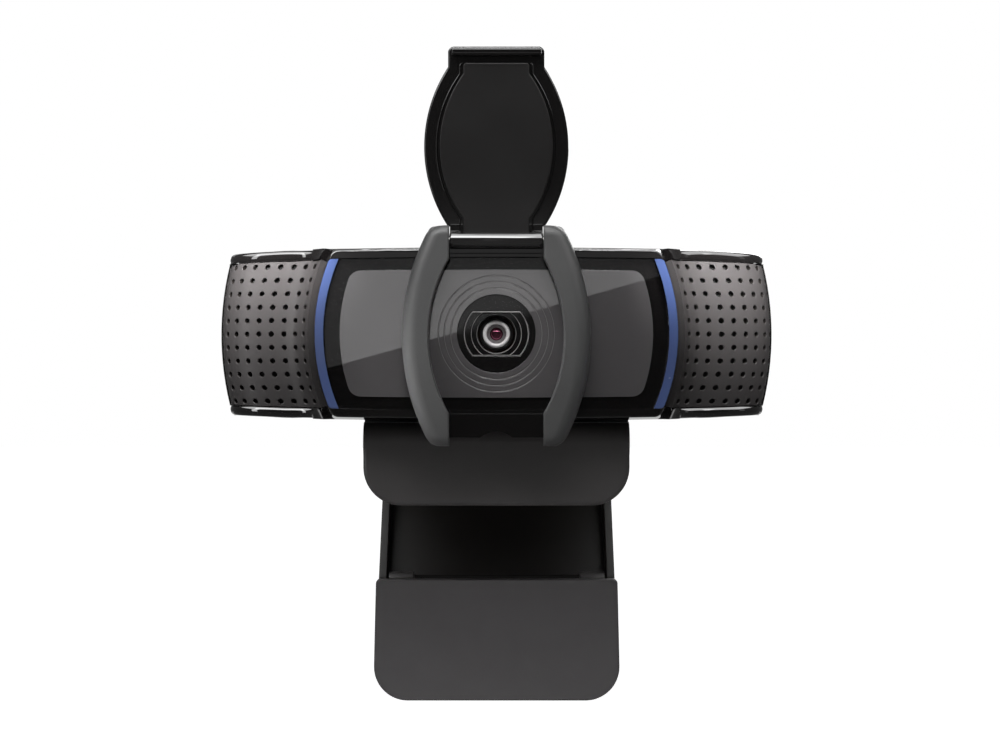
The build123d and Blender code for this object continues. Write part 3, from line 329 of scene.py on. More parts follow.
@dataclass(frozen=True)
class CoatedGlass(Finish):
    """Polished optical glass with a coating that tints what it mirrors."""

    bloom: str
    ior: float
    bloom_mm: float
    roughness: Flat = (0.02, 0.06)

    def shade(self, tree: Tree, place: Socket) -> Socket:
        """A dark body with a tinted mirror.

        Args:
            tree: The material's node tree.
            place: The coordinates that patterns use.

        Returns:
            The surface's shader.
        """
        cloud = add_node(tree, "ShaderNodeTexNoise", {}, {
            "Vector": place, "Scale": 1 / (self.bloom_mm * MM), "Detail": 1.0})
        rough = add_node(tree, "ShaderNodeMapRange", {}, {
            "Value": cloud.outputs["Fac"], "To Min": self.roughness[0], "To Max": self.roughness[1]})
        return add_node(tree, "ShaderNodeBsdfPrincipled", {}, {
            "Base Color": linear(self.colour), "Specular Tint": linear(self.bloom), "IOR": self.ior,
            "Roughness": rough.outputs["Result"]}).outputs["BSDF"]


# The finish of each record slot, and of places with a finish of their own.
# Grain, threads and tool lines are drawn coarser than real ones, which are too fine to show.
FINISHES: dict[str, Finish] = {
    # ABS from a polished mould: deep black with a wet-looking, slightly uneven gloss
    "gloss_black_abs": MouldedPlastic(
        "abs_piano_black", "#090808", "#070606", (0.03, 0.06), Grain.POLISHED, ior=1.6, coat=1.0),
    # Cast acrylic sheet: clear, with faint wipe marks. The inks bonded behind it carry most of the gloss
    "clear_window": ClearSheet("acrylic_cast_clear", "#fbfbfb", 1.05, (0.0, 0.02), 18.0),
    # Black ink on the back of the window: even, with a faint clear gloss
    "mask_black": MouldedPlastic(
        "ink_screened_black", "#0b0a0a", "#0e0d0d", (0.002, 0.006), Grain.POLISHED, ior=1.38),
    # Metallic ink on the inlay: a soft grey that answers a lamp
    "panel_grey": MouldedPlastic(
        "ink_screened_metallic_grey", "#4a4849", "#454344", (0.002, 0.006), Grain.POLISHED, ior=2.1),
    # Polycarbonate from a polished mould: nearly no light comes back
    "hood_black": MouldedPlastic(
        "polycarbonate_polished_black", "#0e0d0d", "#0a0909", (0.03, 0.06), Grain.POLISHED),
    # Light grey beads along the hood's edges and in the panel's grooves: painted highlights, standing for the lines of
    # light that those edges catch
    "painted_highlight_line": MouldedPlastic(
        "polycarbonate_polished_line", "#8c8a8a", "#7c7a7a", (0.15, 0.25), Grain.POLISHED, metallic=0.3),
    # Moulded cone between the ring and the glass: mid grey and soft. Its grey beside the pale ring is partly painted
    # shade of the ring's bowl
    "lens_cone": MouldedPlastic(
        "polycarbonate_moulded_grey", "#5f5b5c", "#545051", (0.25, 0.35), Grain.POLISHED, patch_mm=0.8),
    # ABS with a satin metallic coat: small sparkle and a broad soft highlight
    "grille_grey": MouldedPlastic(
        "abs_satin_coated_graphite", "#302e2e", "#2c2a2a", (0.36, 0.42), grain_mm=0.22, grain_height_mm=0.008,
        ior=1.4, metallic=0.1),
    # Woven polyester: dark, with the threads just showing through the holes
    "cloth_black": WovenCloth("polyester_woven_black", "#090808", "#040404", 0.3),
    # Dyed acrylic: an even blue with a soft gloss
    "guide_blue": MouldedPlastic(
        "acrylic_dyed_blue", "#3a4972", "#354369", (0.2, 0.28), Grain.POLISHED, patch_mm=4.0, coat=0.3),
    # Moulded epoxy over the lamps: a smooth, warm white
    "led_white": MouldedPlastic("epoxy_moulded_white", "#e9e7dc", "#dedbcd", (0.2, 0.3), Grain.POLISHED, patch_mm=1.0),
    # Glass-fibre board under solder resist: green, with a faint weave
    "board_green": MouldedPlastic("glass_fibre_resist_green", "#16482a", "#103c22", (0.3, 0.4), grain_mm=0.5),
    # Drawn tinplate: bright, with fine lines along the draw
    "can_tin": WorkedMetal("tinplate_drawn", "#c9c9c6", "#b4b4b1", (0.25, 0.4)),
    # Moulded nylon: ivory and half dull
    "header_white": MouldedPlastic("nylon_moulded_ivory", "#e6e0cf", "#d9d2bf", (0.45, 0.55)),
    # Silicon under a cover glass: nearly black, with a blue mirror
    "sensor_dark": CoatedGlass("silicon_under_glass", "#15131c", "#8fa6d8", 1.6, 2.0),
    # Filter glass: a red-blocking tint
    "filter_tint": CoatedGlass("filter_glass_coated", "#1d4a4f", "#d86a8a", 1.5, 3.0),
    # Polished lens glass: black within, with a magenta bloom
    "lens_glass": CoatedGlass("optical_glass_coated", "#160709", "#f08fb2", 3.4, 0.8),
    # Moulded barrel: a soft black
    "lens_black": MouldedPlastic("polycarbonate_moulded_black", "#1b1a1a", "#151414", (0.3, 0.4)),
    # Turned aluminium under lacquer: pale, with a fine grain
    "retainer_bright": MouldedPlastic(
        "aluminium_turned_lacquered", "#e2e0e0", "#cfcdcd", (0.25, 0.35), grain_mm=0.12, grain_height_mm=0.006,
        patch_mm=0.8, metallic=0.15),
    # Enamelled copper wire: fine dark brown lines
    "coil_copper": WorkedMetal("copper_enamelled_dark", "#3a2418", "#2a1a12", (0.2, 0.35), 0.1, (1.0, 8.0, 1.0)),
    # Nickel plate on the magnets: a warm, soft mirror
    "magnet_nickel": WorkedMetal("nickel_plated", "#b9b6b0", "#a5a29c", (0.2, 0.35)),
    # Drawn aluminium can: pale, with fine lines
    "mic_can": WorkedMetal("aluminium_drawn", "#c6c6c6", "#b0b0b0", (0.3, 0.45)),
    # Moulded rubber: dull, with a dusty bloom
    "rubber_black": MouldedPlastic("rubber_moulded_black", "#191818", "#201f1f", (0.6, 0.75), grain_mm=0.5),
    # Blackened steel: dark, with a dull shine
    "screw_black": WorkedMetal("steel_blackened", "#2b2a2a", "#1d1c1c", (0.35, 0.5)),
    # Ground steel: bright, with the grinding lines in it
    "steel_bright": WorkedMetal("steel_ground", "#b4b3b1", "#979694", (0.22, 0.36)),
    # Pressed and zinc-plated steel: mid grey, a little cloudy
    "bracket_steel": WorkedMetal("steel_zinc_plated", "#83827f", "#706f6c", (0.3, 0.45)),
    # ABS from a sparked mould: a flat dark grey with a fine tooth
    "shutter_grey": MouldedPlastic(
        "abs_sparked_grey", "#3c3c3c", "#383838", (0.4, 0.48), grain_mm=0.3, grain_height_mm=0.014, ior=1.45),
    # ABS from a polished mould, as on the flap's rim: black, with a clear shine
    "flap_black": MouldedPlastic(
        "abs_polished_black", "#121111", "#0f0e0e", (0.06, 0.1), Grain.POLISHED),
    # The same ABS under a thick lacquer on the hinge barrel, which draws one bright line across it
    "barrel_black": MouldedPlastic(
        "abs_lacquered_black", "#151414", "#121111", (0.05, 0.08), Grain.POLISHED, ior=2.0),
    # ABS from a lightly sparked mould, as on the flap's raised panel: a broad, soft shine
    "flap_panel": MouldedPlastic(
        "abs_satin_black", "#1c1b1b", "#1b1a1a", (0.28, 0.34), grain_mm=0.25, grain_height_mm=0.006, ior=1.35),
    # Glass-filled ABS from a sparked mould: an even, dull dark grey
    "clip_black": MouldedPlastic(
        "abs_sparked_black", "#353333", "#312f2f", (0.36, 0.44)),
    # The clip's ABS made near black, on the whole leg and on the walls inside the grille's holes: painted shade of the
    # leg's channel and of the holes
    "painted_shade_black": MouldedPlastic(
        "abs_sparked_deep_black", "#191716", "#161413", (0.4, 0.5), ior=1.35),
    # Soft pad rubber: dull charcoal
    "pad_rubber": MouldedPlastic(
        "rubber_skinned_charcoal", "#343233", "#302e2f", (0.5, 0.6), grain_mm=0.4, grain_height_mm=0.014),
    # Machined brass: yellow, with fine tool lines
    "brass": WorkedMetal("brass_machined", "#b6924f", "#977738", (0.22, 0.36)),
    # Cut nylon: off-white and dull
    "washer_nylon": MouldedPlastic("nylon_cut_natural", "#bdbbb4", "#adaba3", (0.5, 0.6)),
}


def slot_of_node() -> dict[str, str]:
    """The record's material slot of every node."""
    return {part["node"]: part["material_slot"] for part in frame["record"]["subparts"]}


def body_of_node() -> dict[str, str]:
    """The body that carries every node."""
    bodies = frame["record"]["behaviour"]["bodies"]
    return {node: body for body, members in bodies.items() for node in members}


class Workshop:
    """Makes each material once and puts pieces in place of nodes."""

    def __init__(self) -> None:
        """Make the material of every finish."""
        self.materials = {slot: finish.material() for slot, finish in FINISHES.items()}
        self.slots = slot_of_node()
        self.bodies = body_of_node()

    def dress_nodes(self) -> None:
        """Give every node the material of its slot."""
        for name, node in frame["nodes"].items():
            node.data.materials.clear()
            node.data.materials.append(self.materials[self.slots[name]])

    def put_on(self, piece: Piece, node: str, finish: str = "") -> None:
        """Dress a piece that is carried beside a node.

        Args:
            piece: The new piece.
            node: The node whose body carries it.
            finish: Its finish, where that isn't the node's own.
        """
        piece.data.materials.clear()
        piece.data.materials.append(self.materials[finish or self.slots[node]])
        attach(piece, self.bodies[node])
        log.info("%s rides on %s", piece.name, self.bodies[node])

    def put_in_place(self, piece: Piece, node: str) -> None:
        """Dress a new piece as a node, and let it stand for that node.

        Args:
            piece: The new piece.
            node: The node that it stands for.
        """
        self.put_on(piece, node)
        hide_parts(node)
        log.info("%s stands for %s", piece.name, node)


def new_piece(name: str, mesh: bpy.types.Mesh) -> Piece:
    """Link a new mesh piece into the scene.

    Args:
        name: The piece's name.
        mesh: Its mesh.

    Returns:
        The new piece.
    """
    piece = bpy.data.objects.new(name, mesh)
    bpy.context.scene.collection.objects.link(piece)
    return piece


def linked(name: str, shape: Shape, corner_deg: float = 0.0) -> Piece:
    """Turn a shape into a piece.

    Args:
        name: The piece's name.
        shape: The shape, which is freed.
        corner_deg: Edges at least this sharp stay crisp, and the rest is smooth. At zero the shape's own marks stay.

    Returns:
        The new piece.
    """
    bmesh.ops.recalc_face_normals(shape, faces=shape.faces[:])
    if corner_deg:
        mark_smooth(shape, corner_deg)
    mesh = bpy.data.meshes.new(name)
    shape.to_mesh(mesh)
    shape.free()
    return new_piece(name, mesh)


def mark_smooth(shape: Shape, corner_deg: float) -> None:
    """Shade a shape as one surface, apart from edges at least as sharp as an angle.

    Args:
        shape: The shape to mark.
        corner_deg: The angle.
    """
    for face in shape.faces:
        face.smooth = True
    for edge in shape.edges:
        edge.smooth = edge.calc_face_angle(0.0) < math.radians(corner_deg)


def skin(shape: Shape, rows: list[list[bmesh.types.BMVert]], is_ring: bool = False) -> None:
    """Put faces between closed rows of points.

    Args:
        shape: The shape that holds the points.
        rows: Rows with the same number of points.
        is_ring: True where the last row meets the first.
    """
    for row, after in zip(rows, rows[1:] + rows[:1] if is_ring else rows[1:]):
        for at in range(len(row)):
            shape.faces.new([row[at - 1], row[at], after[at], after[at - 1]])


def full_turn(count: int) -> list[float]:
    """Even steps round a full turn."""
    return [2 * math.pi * step / count for step in range(count)]


def quarter_round(radius: float, steps: int) -> list[Flat]:
    """Points of a quarter round, as distances from the two lines that it joins."""
    angles = [math.pi / 2 * step / steps for step in range(steps + 1)]
    return [(radius * (1 - math.sin(angle)), radius * (1 - math.cos(angle))) for angle in angles]


def from_lens(point: Vector) -> Vector:
    """A point's place from the lens axis at the middle of the head's depth, in millimetres."""
    return (point - lens_place()) / MM


@dataclass(frozen=True)
class RoundedMoulding:
    """A moulding with its sharp edges rounded and its curved faces shaded as one surface.

    Faces in the second zone take a finish of their own.
    """

    node: str
    edge_mm: float = 0.2
    second_finish: str = ""
    second: FaceZone = lambda point, normal: False
    formed: Shift = lambda point: point
    corner_deg: float = 32.0

    def build(self) -> Piece:
        """Make the moulding from the node's own form.

        Returns:
            The rounded piece.
        """
        shape = bmesh.new()
        shape.from_mesh(frame["nodes"][self.node].data)
        bmesh.ops.remove_doubles(shape, verts=shape.verts[:], dist=WELD)
        flat = math.radians(FLAT_DEG)
        bmesh.ops.dissolve_limit(shape, angle_limit=flat, verts=shape.verts[:], edges=shape.edges[:])
        weight = shape.edges.layers.float.new("bevel_weight_edge")
        mark_smooth(shape, self.corner_deg)
        for edge in shape.edges:
            edge[weight] = 0.0 if edge.smooth else 1.0
        for vert in shape.verts:
            vert.co = lens_place() + self.formed(from_lens(vert.co)) * MM
        mesh = bpy.data.meshes.new(self.node + "_moulding")
        shape.to_mesh(mesh)
        shape.free()
        piece = new_piece(self.node + "_moulding", mesh)
        rounding = piece.modifiers.new("edge_rounding", "BEVEL")
        rounding.width = self.edge_mm * MM
        rounding.segments = ROUND_SEGMENTS
        rounding.limit_method = "WEIGHT"
        rounding.use_clamp_overlap = True
        shading = piece.modifiers.new("even_shading", "WEIGHTED_NORMAL")
        shading.keep_sharp = True
        return piece

    def dress(self, shop: Workshop) -> None:
        """Build the moulding and put it in place of its node.

        Args:
            shop: The workshop with the materials.
        """
        piece = self.build()
        shop.put_in_place(piece, self.node)
        if self.second_finish:
            piece.data.materials.append(shop.materials[self.second_finish])
            for face in piece.data.polygons:
                face.material_index = int(self.second(from_lens(face.center), face.normal))


@dataclass(frozen=True)
class PlanPoint:
    """A point of a wing's plan curve, with the way that the surface faces."""

    x: float
    y: float
    out_x: float
    out_y: float


@dataclass(frozen=True)
class GrilleWing:
    """A perforated wing: a plan curve turned about an axis in depth, with rows of round holes.

    Sizes are in millimetres about the lens axis, at the middle of the head's depth.
    """

    side: Side
    end_x: float = 47.0
    half_height: float = 14.5
    crown_drop: float = 0.8
    shell_wall: float = 1.85
    front_y: float = -12.0
    axis_x: float = 2.7
    frame_half: float = 30.9
    fit_gap: float = 0.05
    setback: float = 6.9
    inner_setback: float = 3.0
    broad_share: float = 0.72
    corner_share: float = 0.304
    turn_deg: float = 45.0
    recess: float = 0.4
    sheet: float = 0.9
    reach: float = 0.6
    hole_r: float = 0.45
    hole_lip: float = 0.07
    hole_sides: int = 18
    rows: int = 11
    columns: int = 9
    columns_inward: int = 3
    row_pitch: float = 2.25
    column_share: float = 0.1348
    column_shift: float = 0.2
    mesh_step: float = 0.72
    hole_keep: float = 0.93
    start_steps: int = 100
    rim_x: float = 31.0
    rim_z: float = 12.0
    rim_y: float = 3.0
    rim_setback: float = 0.9

    @property
    def node(self) -> str:
        """The node that the wing stands for."""
        return self.side.word + "_grille"

    @property
    def width(self) -> float:
        """Width of the wing beyond the centre frame."""
        return self.end_x - self.frame_half

    @property
    def broad_r(self) -> float:
        """Radius of the broad face in plan."""
        return self.width * self.broad_share

    @property
    def corner_r(self) -> float:
        """Radius of the turned end in plan."""
        return self.width * self.corner_share

    @property
    def valley_x(self) -> float:
        """X of the lowest line of the hollow."""
        share = math.sin(math.radians(self.turn_deg))
        return self.end_x - self.broad_r * share - self.corner_r * (1 - share)

    @property
    def valley_y(self) -> float:
        """Depth of the lowest line of the hollow."""
        return self.front_y + self.setback

    @property
    def hollow_r(self) -> float:
        """Radius of the hollow beside the centre frame."""
        return self.valley_x - self.frame_half - 2 * self.fit_gap - self.recess

    @cache
    def runs(self) -> list[tuple[float, Callable[[float], PlanPoint]]]:
        """The stretches of the plan curve at the sheet's outer face.

        Returns:
            For each stretch, its length and a function from the distance along it to a point.
        """
        turn = math.radians(self.turn_deg)
        hollow_y = self.valley_y - self.hollow_r
        hollow = self.hollow_r + self.recess
        begin = math.pi - math.asin((self.front_y + self.inner_setback - hollow_y) / hollow)
        broad = self.broad_r - self.recess
        broad_y = self.valley_y + self.broad_r
        corner = self.corner_r - self.recess
        shift = self.broad_r - self.corner_r
        corner_x = self.valley_x + shift * math.sin(turn)
        corner_y = broad_y - shift * math.cos(turn)

        def arc(x: float, y: float, radius: float, start: float, bend: int) -> Callable[[float], PlanPoint]:
            """The function that goes along an arc.

            Args:
                x: Across, of the arc's centre.
                y: Depth of its centre.
                radius: Its radius.
                start: The angle that it starts from.
                bend: Which way it turns.

            Returns:
                A function from a distance to a point.
            """
            def place(along: float) -> PlanPoint:
                """The arc's point at a distance.

                Args:
                    along: The distance.

                Returns:
                    The point.
                """
                angle = start + bend * along / radius
                way = (math.cos(angle), math.sin(angle))
                return PlanPoint(x + radius * way[0], y + radius * way[1], bend * way[0], bend * way[1])
            return place

        return [
            (hollow * (begin - math.pi / 2), arc(self.valley_x, hollow_y, hollow, begin, -1)),
            (broad * turn, arc(self.valley_x, broad_y, broad, -math.pi / 2, 1)),
            (corner * (math.pi / 2 - turn), arc(corner_x, corner_y, corner, turn - math.pi / 2, 1)),
            (self.reach, lambda along: PlanPoint(self.end_x - self.recess, corner_y + along, 1.0, 0.0)),
        ]

    def point_at(self, along: float) -> PlanPoint:
        """The plan curve's point at a distance from its start.

        Args:
            along: The distance.

        Returns:
            The point.
        """
        runs = self.runs()
        for length, place in runs[:-1]:
            if along <= length:
                return place(along)
            along -= length
        return runs[-1][1](along)

    def turned(self, along: float, z: float, depth: float) -> Vector:
        """A point of the sheet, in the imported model's frame.

        Args:
            along: Distance along the plan curve.
            z: Height from the lens axis.
            depth: Distance below the sheet's outer face.

        Returns:
            The place in metres.
        """
        spot = self.point_at(along)
        lean = math.asin(z / (spot.x + self.axis_x))
        x = spot.x - spot.out_x * depth
        y = spot.y - spot.out_y * depth
        radius = x + self.axis_x
        flat_x = radius * math.cos(lean) - self.axis_x
        return Vector((self.side.value * flat_x, y, radius * math.sin(lean))) * MM + lens_place()

    @cache
    def stations(self) -> list[PlanPoint]:
        """Points along the housing's own plan curve, which stands proud of the sheet.

        Returns:
            The points, from the centre frame outwards.
        """
        low, high = self.length_limits()
        count = round((high - low) / self.hole_lip)
        spots = [self.point_at(low + (high - low) * step / count) for step in range(count)]
        return [PlanPoint(p.x + p.out_x * self.recess, p.y + p.out_y * self.recess, p.out_x, p.out_y) for p in spots]

    def behind_rim(self, point: Vector) -> Vector:
        """Draw the housing's front in above and below the grilles, where a rolled rim covers it.

        Args:
            point: A point of the housing, from the lens axis.

        Returns:
            The moved point, or the same point where no rim covers it.
        """
        if abs(point.x) < self.rim_x or abs(point.z) < self.rim_z or point.y > self.rim_y:
            return point
        across = abs(point.x) + self.axis_x
        radius = math.hypot(across, point.z)
        x = radius - self.axis_x
        spot = min(self.stations(), key=lambda p: (p.x - x) ** 2 + (p.y - point.y) ** 2)
        if math.hypot(spot.x - x, spot.y - point.y) > self.hole_lip:
            return point
        share = 1 - spot.out_x * self.rim_setback / radius
        flat_x = across * share - self.axis_x
        return Vector((math.copysign(flat_x, point.x), point.y - spot.out_y * self.rim_setback, point.z * share))

    def top_z(self, along: float) -> float:
        """Height of the sheet's top edge at a distance along the plan curve."""
        spot = self.point_at(along)
        return self.half_height - self.shell_wall - self.crown_drop * (spot.x / self.end_x) ** 2

    def length_limits(self) -> tuple[float, float]:
        """Where the sheet begins, clear of the centre frame, and where it ends.

        Returns:
            Both distances along the plan curve.
        """
        length, place = self.runs()[0]
        start = 0.0
        while place(start).x < self.frame_half + self.fit_gap and start < length:
            start += self.sheet / self.start_steps
        return start, sum(run[0] for run in self.runs())

    def outline(self, low: float, high: float) -> list[Flat]:
        """The flat outline of the sheet between two stations, as (distance along, height) points.

        Args:
            low: Where the sheet begins, along the plan curve.
            high: Where it ends.

        Returns:
            The points, in order.
        """
        across = max(2, round((high - low) / self.mesh_step))
        stations = [low + (high - low) * step / across for step in range(across + 1)]
        up = max(2, round(2 * self.half_height / self.mesh_step))
        top = [(s, self.top_z(s)) for s in stations]
        bottom = [(s, -z) for s, z in reversed(top)]
        far = [(high, self.top_z(high) * (1 - 2 * step / up)) for step in range(1, up)]
        near = [(low, -self.top_z(low) * (1 - 2 * step / up)) for step in range(1, up)]
        return top + far + bottom + near

    def hole_places(self) -> list[Flat]:
        """The middles of the holes, as (distance along, height).

        Returns:
            One place for each hole.
        """
        valley = self.runs()[0][0]
        places = []
        for column in range(self.columns):
            along = valley + (column - self.columns_inward + self.column_shift) * self.width * self.column_share
            for row in range(self.rows):
                places.append((along, (row - (self.rows - 1) / 2) * self.row_pitch))
        return places

    def build(self) -> Piece:
        """Make the perforated sheet.

        Returns:
            The sheet with its holes.
        """
        low, high = self.length_limits()
        edge = self.outline(low, high)
        spots = [Vector(point) for point in edge]
        links = [(at, (at + 1) % len(edge)) for at in range(len(edge))]
        holes = self.hole_places()
        rim: dict[int, tuple[float, float, float]] = {}
        for along, z in holes:
            first = len(spots)
            for step, angle in enumerate(full_turn(self.hole_sides)):
                rim[len(spots)] = (along, z, angle)
                spots.append(Vector((along + self.hole_r * math.cos(angle), z + self.hole_r * math.sin(angle))))
                links.append((first + step, first + (step + 1) % self.hole_sides))
        spots += self.fill_points(low, high, holes)
        flat, _, faces, origins, _, _ = delaunay_2d_cdt(spots, links, [], 0, WELD)
        kept = [face for face in faces if self.is_sheet([flat[at] for at in face], low, high, holes)]
        source = [next(iter(origin), -1) for origin in origins]
        return self.thicken(flat, kept, source, rim)

    def fill_points(self, low: float, high: float, holes: list[Flat]) -> list[Vector]:
        """Points between the holes, so that the curved sheet bends evenly.

        Args:
            low: Where the sheet begins, along the plan curve.
            high: Where it ends.
            holes: The middles of the holes.

        Returns:
            Their flat places.
        """
        points = []
        gap = self.mesh_step / 3
        clear = self.hole_r + gap
        s = low + self.mesh_step / 2
        while s < high - gap:
            limit = self.top_z(s) - gap
            count = int(2 * limit / self.mesh_step)
            for step in range(count + 1):
                z = -limit + 2 * limit * step / count
                if all((s - a) ** 2 + (z - b) ** 2 > clear**2 for a, b in holes):
                    points.append(Vector((s, z)))
            s += self.mesh_step
        return points

    def is_sheet(self, corners: list[Vector], low: float, high: float, holes: list[Flat]) -> bool:
        """True where a triangle lies on the sheet and not in a hole.

        Args:
            corners: The triangle's flat corners.
            low: Where the sheet begins, along the plan curve.
            high: Where it ends.
            holes: The middles of the holes.

        Returns:
            Whether it is kept.
        """
        middle = sum(corners, Vector((0.0, 0.0))) / len(corners)
        if not low < middle.x < high or abs(middle.y) > self.top_z(middle.x):
            return False
        nearest = min((middle.x - a) ** 2 + (middle.y - b) ** 2 for a, b in holes)
        return nearest > (self.hole_r * self.hole_keep) ** 2

    def thicken(self, flat: list[Vector], faces: list[list[int]], source: list[int],
                rim: dict[int, tuple[float, float, float]]) -> Piece:
        """Turn the flat triangles into a sheet with two faces, lipped holes and closed edges.

        Args:
            flat: Flat places of the points.
            faces: Triangles between them.
            source: For each point, the point that it was given as.
            rim: For each point on a hole, the hole's middle and the angle there.

        Returns:
            The sheet.
        """
        shape = bmesh.new()
        is_wall = shape.faces.layers.int.new("hole_wall")
        layers: list[dict[int, bmesh.types.BMVert]] = [{}, {}, {}]
        depths = (0.0, self.hole_lip, self.sheet)
        flares = (self.hole_lip, 0.0, 0.0)

        def vert(layer: int, at: int) -> bmesh.types.BMVert:
            """The point of a layer, made when it is first asked for.

            Args:
                layer: Number of the layer, from the front.
                at: Number of the flat point.

            Returns:
                The point.
            """
            if at not in layers[layer]:
                along, z = flat[at]
                if source[at] in rim:
                    middle_s, middle_z, angle = rim[source[at]]
                    radius = self.hole_r + flares[layer]
                    along = middle_s + radius * math.cos(angle)
                    z = middle_z + radius * math.sin(angle)
                layers[layer][at] = shape.verts.new(self.turned(along, z, depths[layer]))
            return layers[layer][at]

        sides = set()
        for face in faces:
            shape.faces.new([vert(0, at) for at in face])
            shape.faces.new([vert(2, at) for at in reversed(face)])
            sides.update(zip(face, face[1:] + face[:1]))
        for start, end in sorted(sides):
            if (end, start) not in sides:
                for upper, lower in ((0, 1), (1, 2)):
                    ring = [vert(upper, end), vert(upper, start), vert(lower, start), vert(lower, end)]
                    shape.faces.new(ring)[is_wall] = int(upper == 1 and source[start] in rim)
        return linked(self.node + "_sheet", shape, SHEET_CORNER_DEG)

    def dress(self, shop: Workshop) -> None:
        """Build the wing, put it in place of its node and paint the walls of its holes near black, as painted shade.

        Args:
            shop: The workshop with the materials.
        """
        piece = self.build()
        shop.put_in_place(piece, self.node)
        # Near black hole walls: painted shade inside the holes
        piece.data.materials.append(shop.materials["painted_shade_black"])
        walls = piece.data.attributes["hole_wall"].data
        for face in piece.data.polygons:
            face.material_index = walls[face.index].value


def lathe(name: str, profile: list[Flat], turns: int, place: Vector, along: Vector) -> Piece:
    """Turn a closed profile about an axis.

    Args:
        name: The piece's name.
        profile: Corners of the profile, as (radius, distance along the axis) in metres.
        turns: Number of steps round the axis.
        place: Where the axis starts.
        along: The axis's direction.

    Returns:
        The turned piece.
    """
    aside = along.orthogonal().normalized()
    up = along.cross(aside)
    shape = bmesh.new()
    rings = []
    for angle in full_turn(turns):
        out = aside * math.cos(angle) + up * math.sin(angle)
        rings.append([shape.verts.new(place + out * radius + along * reach) for radius, reach in profile])
    skin(shape, rings, True)
    return welded(name, shape)


def welded(name: str, shape: Shape) -> Piece:
    """Join the points of a shape that fall together, and turn it into a piece.

    Args:
        name: The piece's name.
        shape: The shape, which is freed.

    Returns:
        The new piece.
    """
    bmesh.ops.remove_doubles(shape, verts=shape.verts[:], dist=WELD)
    loose = [edge for edge in shape.edges if not edge.link_faces]
    bmesh.ops.delete(shape, geom=loose, context="EDGES")
    return linked(name, shape, TURNED_CORNER_DEG)


def prism(name: str, outline: list[Vector], reach: Vector, edge_mm: float) -> Piece:
    """Push a flat outline into a block with rounded edges.

    Args:
        name: The piece's name.
        outline: Corners of the outline, in metres.
        reach: How far and which way it is pushed.
        edge_mm: Radius of its edges.

    Returns:
        The block.
    """
    shape = bmesh.new()
    near = [shape.verts.new(point) for point in outline]
    far = [shape.verts.new(point + reach) for point in outline]
    shape.faces.new(near)
    shape.faces.new(far[::-1])
    for at in range(len(near)):
        after = (at + 1) % len(near)
        shape.faces.new([near[after], near[at], far[at], far[after]])
    piece = linked(name, shape, ALL_SMOOTH_DEG)
    rounding = piece.modifiers.new("edge_rounding", "BEVEL")
    rounding.width = edge_mm * MM
    rounding.segments = ROUND_SEGMENTS
    rounding.angle_limit = math.radians(TURNED_CORNER_DEG)
    piece.modifiers.new("even_shading", "WEIGHTED_NORMAL")
    return piece


def bead(name: str, path: list[Vector], radius: float, is_ring: bool) -> Piece:
    """A fine round bead along a path that lies in one depth.

    Args:
        name: The piece's name.
        path: Points along it, in metres.
        radius: The bead's radius, in metres.
        is_ring: True where its ends meet.

    Returns:
        The bead.
    """
    shape = bmesh.new()
    last = len(path) - 1
    rings = []
    for at, point in enumerate(path):
        before = path[at - 1] if at or is_ring else point
        after = path[(at + 1) % len(path)] if at < last or is_ring else point
        aside = (after - before).normalized().cross(AWAY)
        ways = [aside * math.cos(angle) + AWAY * math.sin(angle) for angle in full_turn(BEAD_SIDES)]
        rings.append([shape.verts.new(point + way * radius) for way in ways])
    skin(shape, rings, is_ring)
    for face in shape.faces:
        face.smooth = True
    for ring in () if is_ring else (rings[0], rings[-1]):
        for edge in shape.faces.new(ring).edges:
            edge.smooth = False
    return linked(name, shape)


def bowed(end: float, middle: float, low: float, high: float, steps: int) -> list[Flat]:
    """Points up the right of a bowed outline, as (half width, height).

    Args:
        end: Half width at both ends.
        middle: Half width at the middle.
        low: Height of the lower end.
        high: Height of the upper end.
        steps: Number of steps.

    Returns:
        Points from the lower end to the upper.
    """
    chord = (high - low) / 2
    bow = middle - end
    radius = (chord**2 + bow**2) / (2 * bow)
    sweep = math.asin(chord / radius)
    points = []
    for step in range(steps + 1):
        angle = sweep * (2 * step / steps - 1)
        points.append((middle - radius * (1 - math.cos(angle)), (low + high) / 2 + radius * math.sin(angle)))
    return points


class Level(Enum):
    """The two rims of a wing."""

    TOP = 1
    BOTTOM = -1


@dataclass(frozen=True)
class WingRim:
    """The housing's gloss rim above or below a grille, rolled over at the front."""

    wing: GrilleWing
    level: Level
    height: float = 1.8
    depth: float = 1.6
    roll: float = 0.8
    count: int = 80
    roll_steps: int = 7

    def section(self) -> list[Flat]:
        """The rim's section, as (depth below its front, height above its lower edge).

        Returns:
            The section's points, in order.
        """
        roll = quarter_round(self.roll, self.roll_steps)
        upper = [(depth, self.height - rise) for rise, depth in roll]
        return [(self.depth, 0.0), *roll, *upper, (self.depth, self.height)]

    def build(self) -> Piece:
        """Sweep the section along the wing.

        Returns:
            The rim.
        """
        wing = self.wing
        low, high = wing.length_limits()
        shape = bmesh.new()
        rows = []
        for step in range(self.count + 1):
            along = low + (high - low) * step / self.count
            foot = wing.top_z(along) + wing.fit_gap
            rows.append([
                shape.verts.new(wing.turned(along, self.level.value * (foot + rise), depth - wing.recess))
                for depth, rise in self.section()])
        skin(shape, rows)
        for face in shape.faces:
            face.smooth = True
        for row in (rows[0], rows[-1]):
            shape.faces.new(row)
        return linked(f"{wing.side.word}_{self.level.name.lower()}_rim", shape)

    def dress(self, shop: Workshop) -> None:
        """Build the rim and let the housing carry it."""
        shop.put_on(self.build(), "rear_housing")


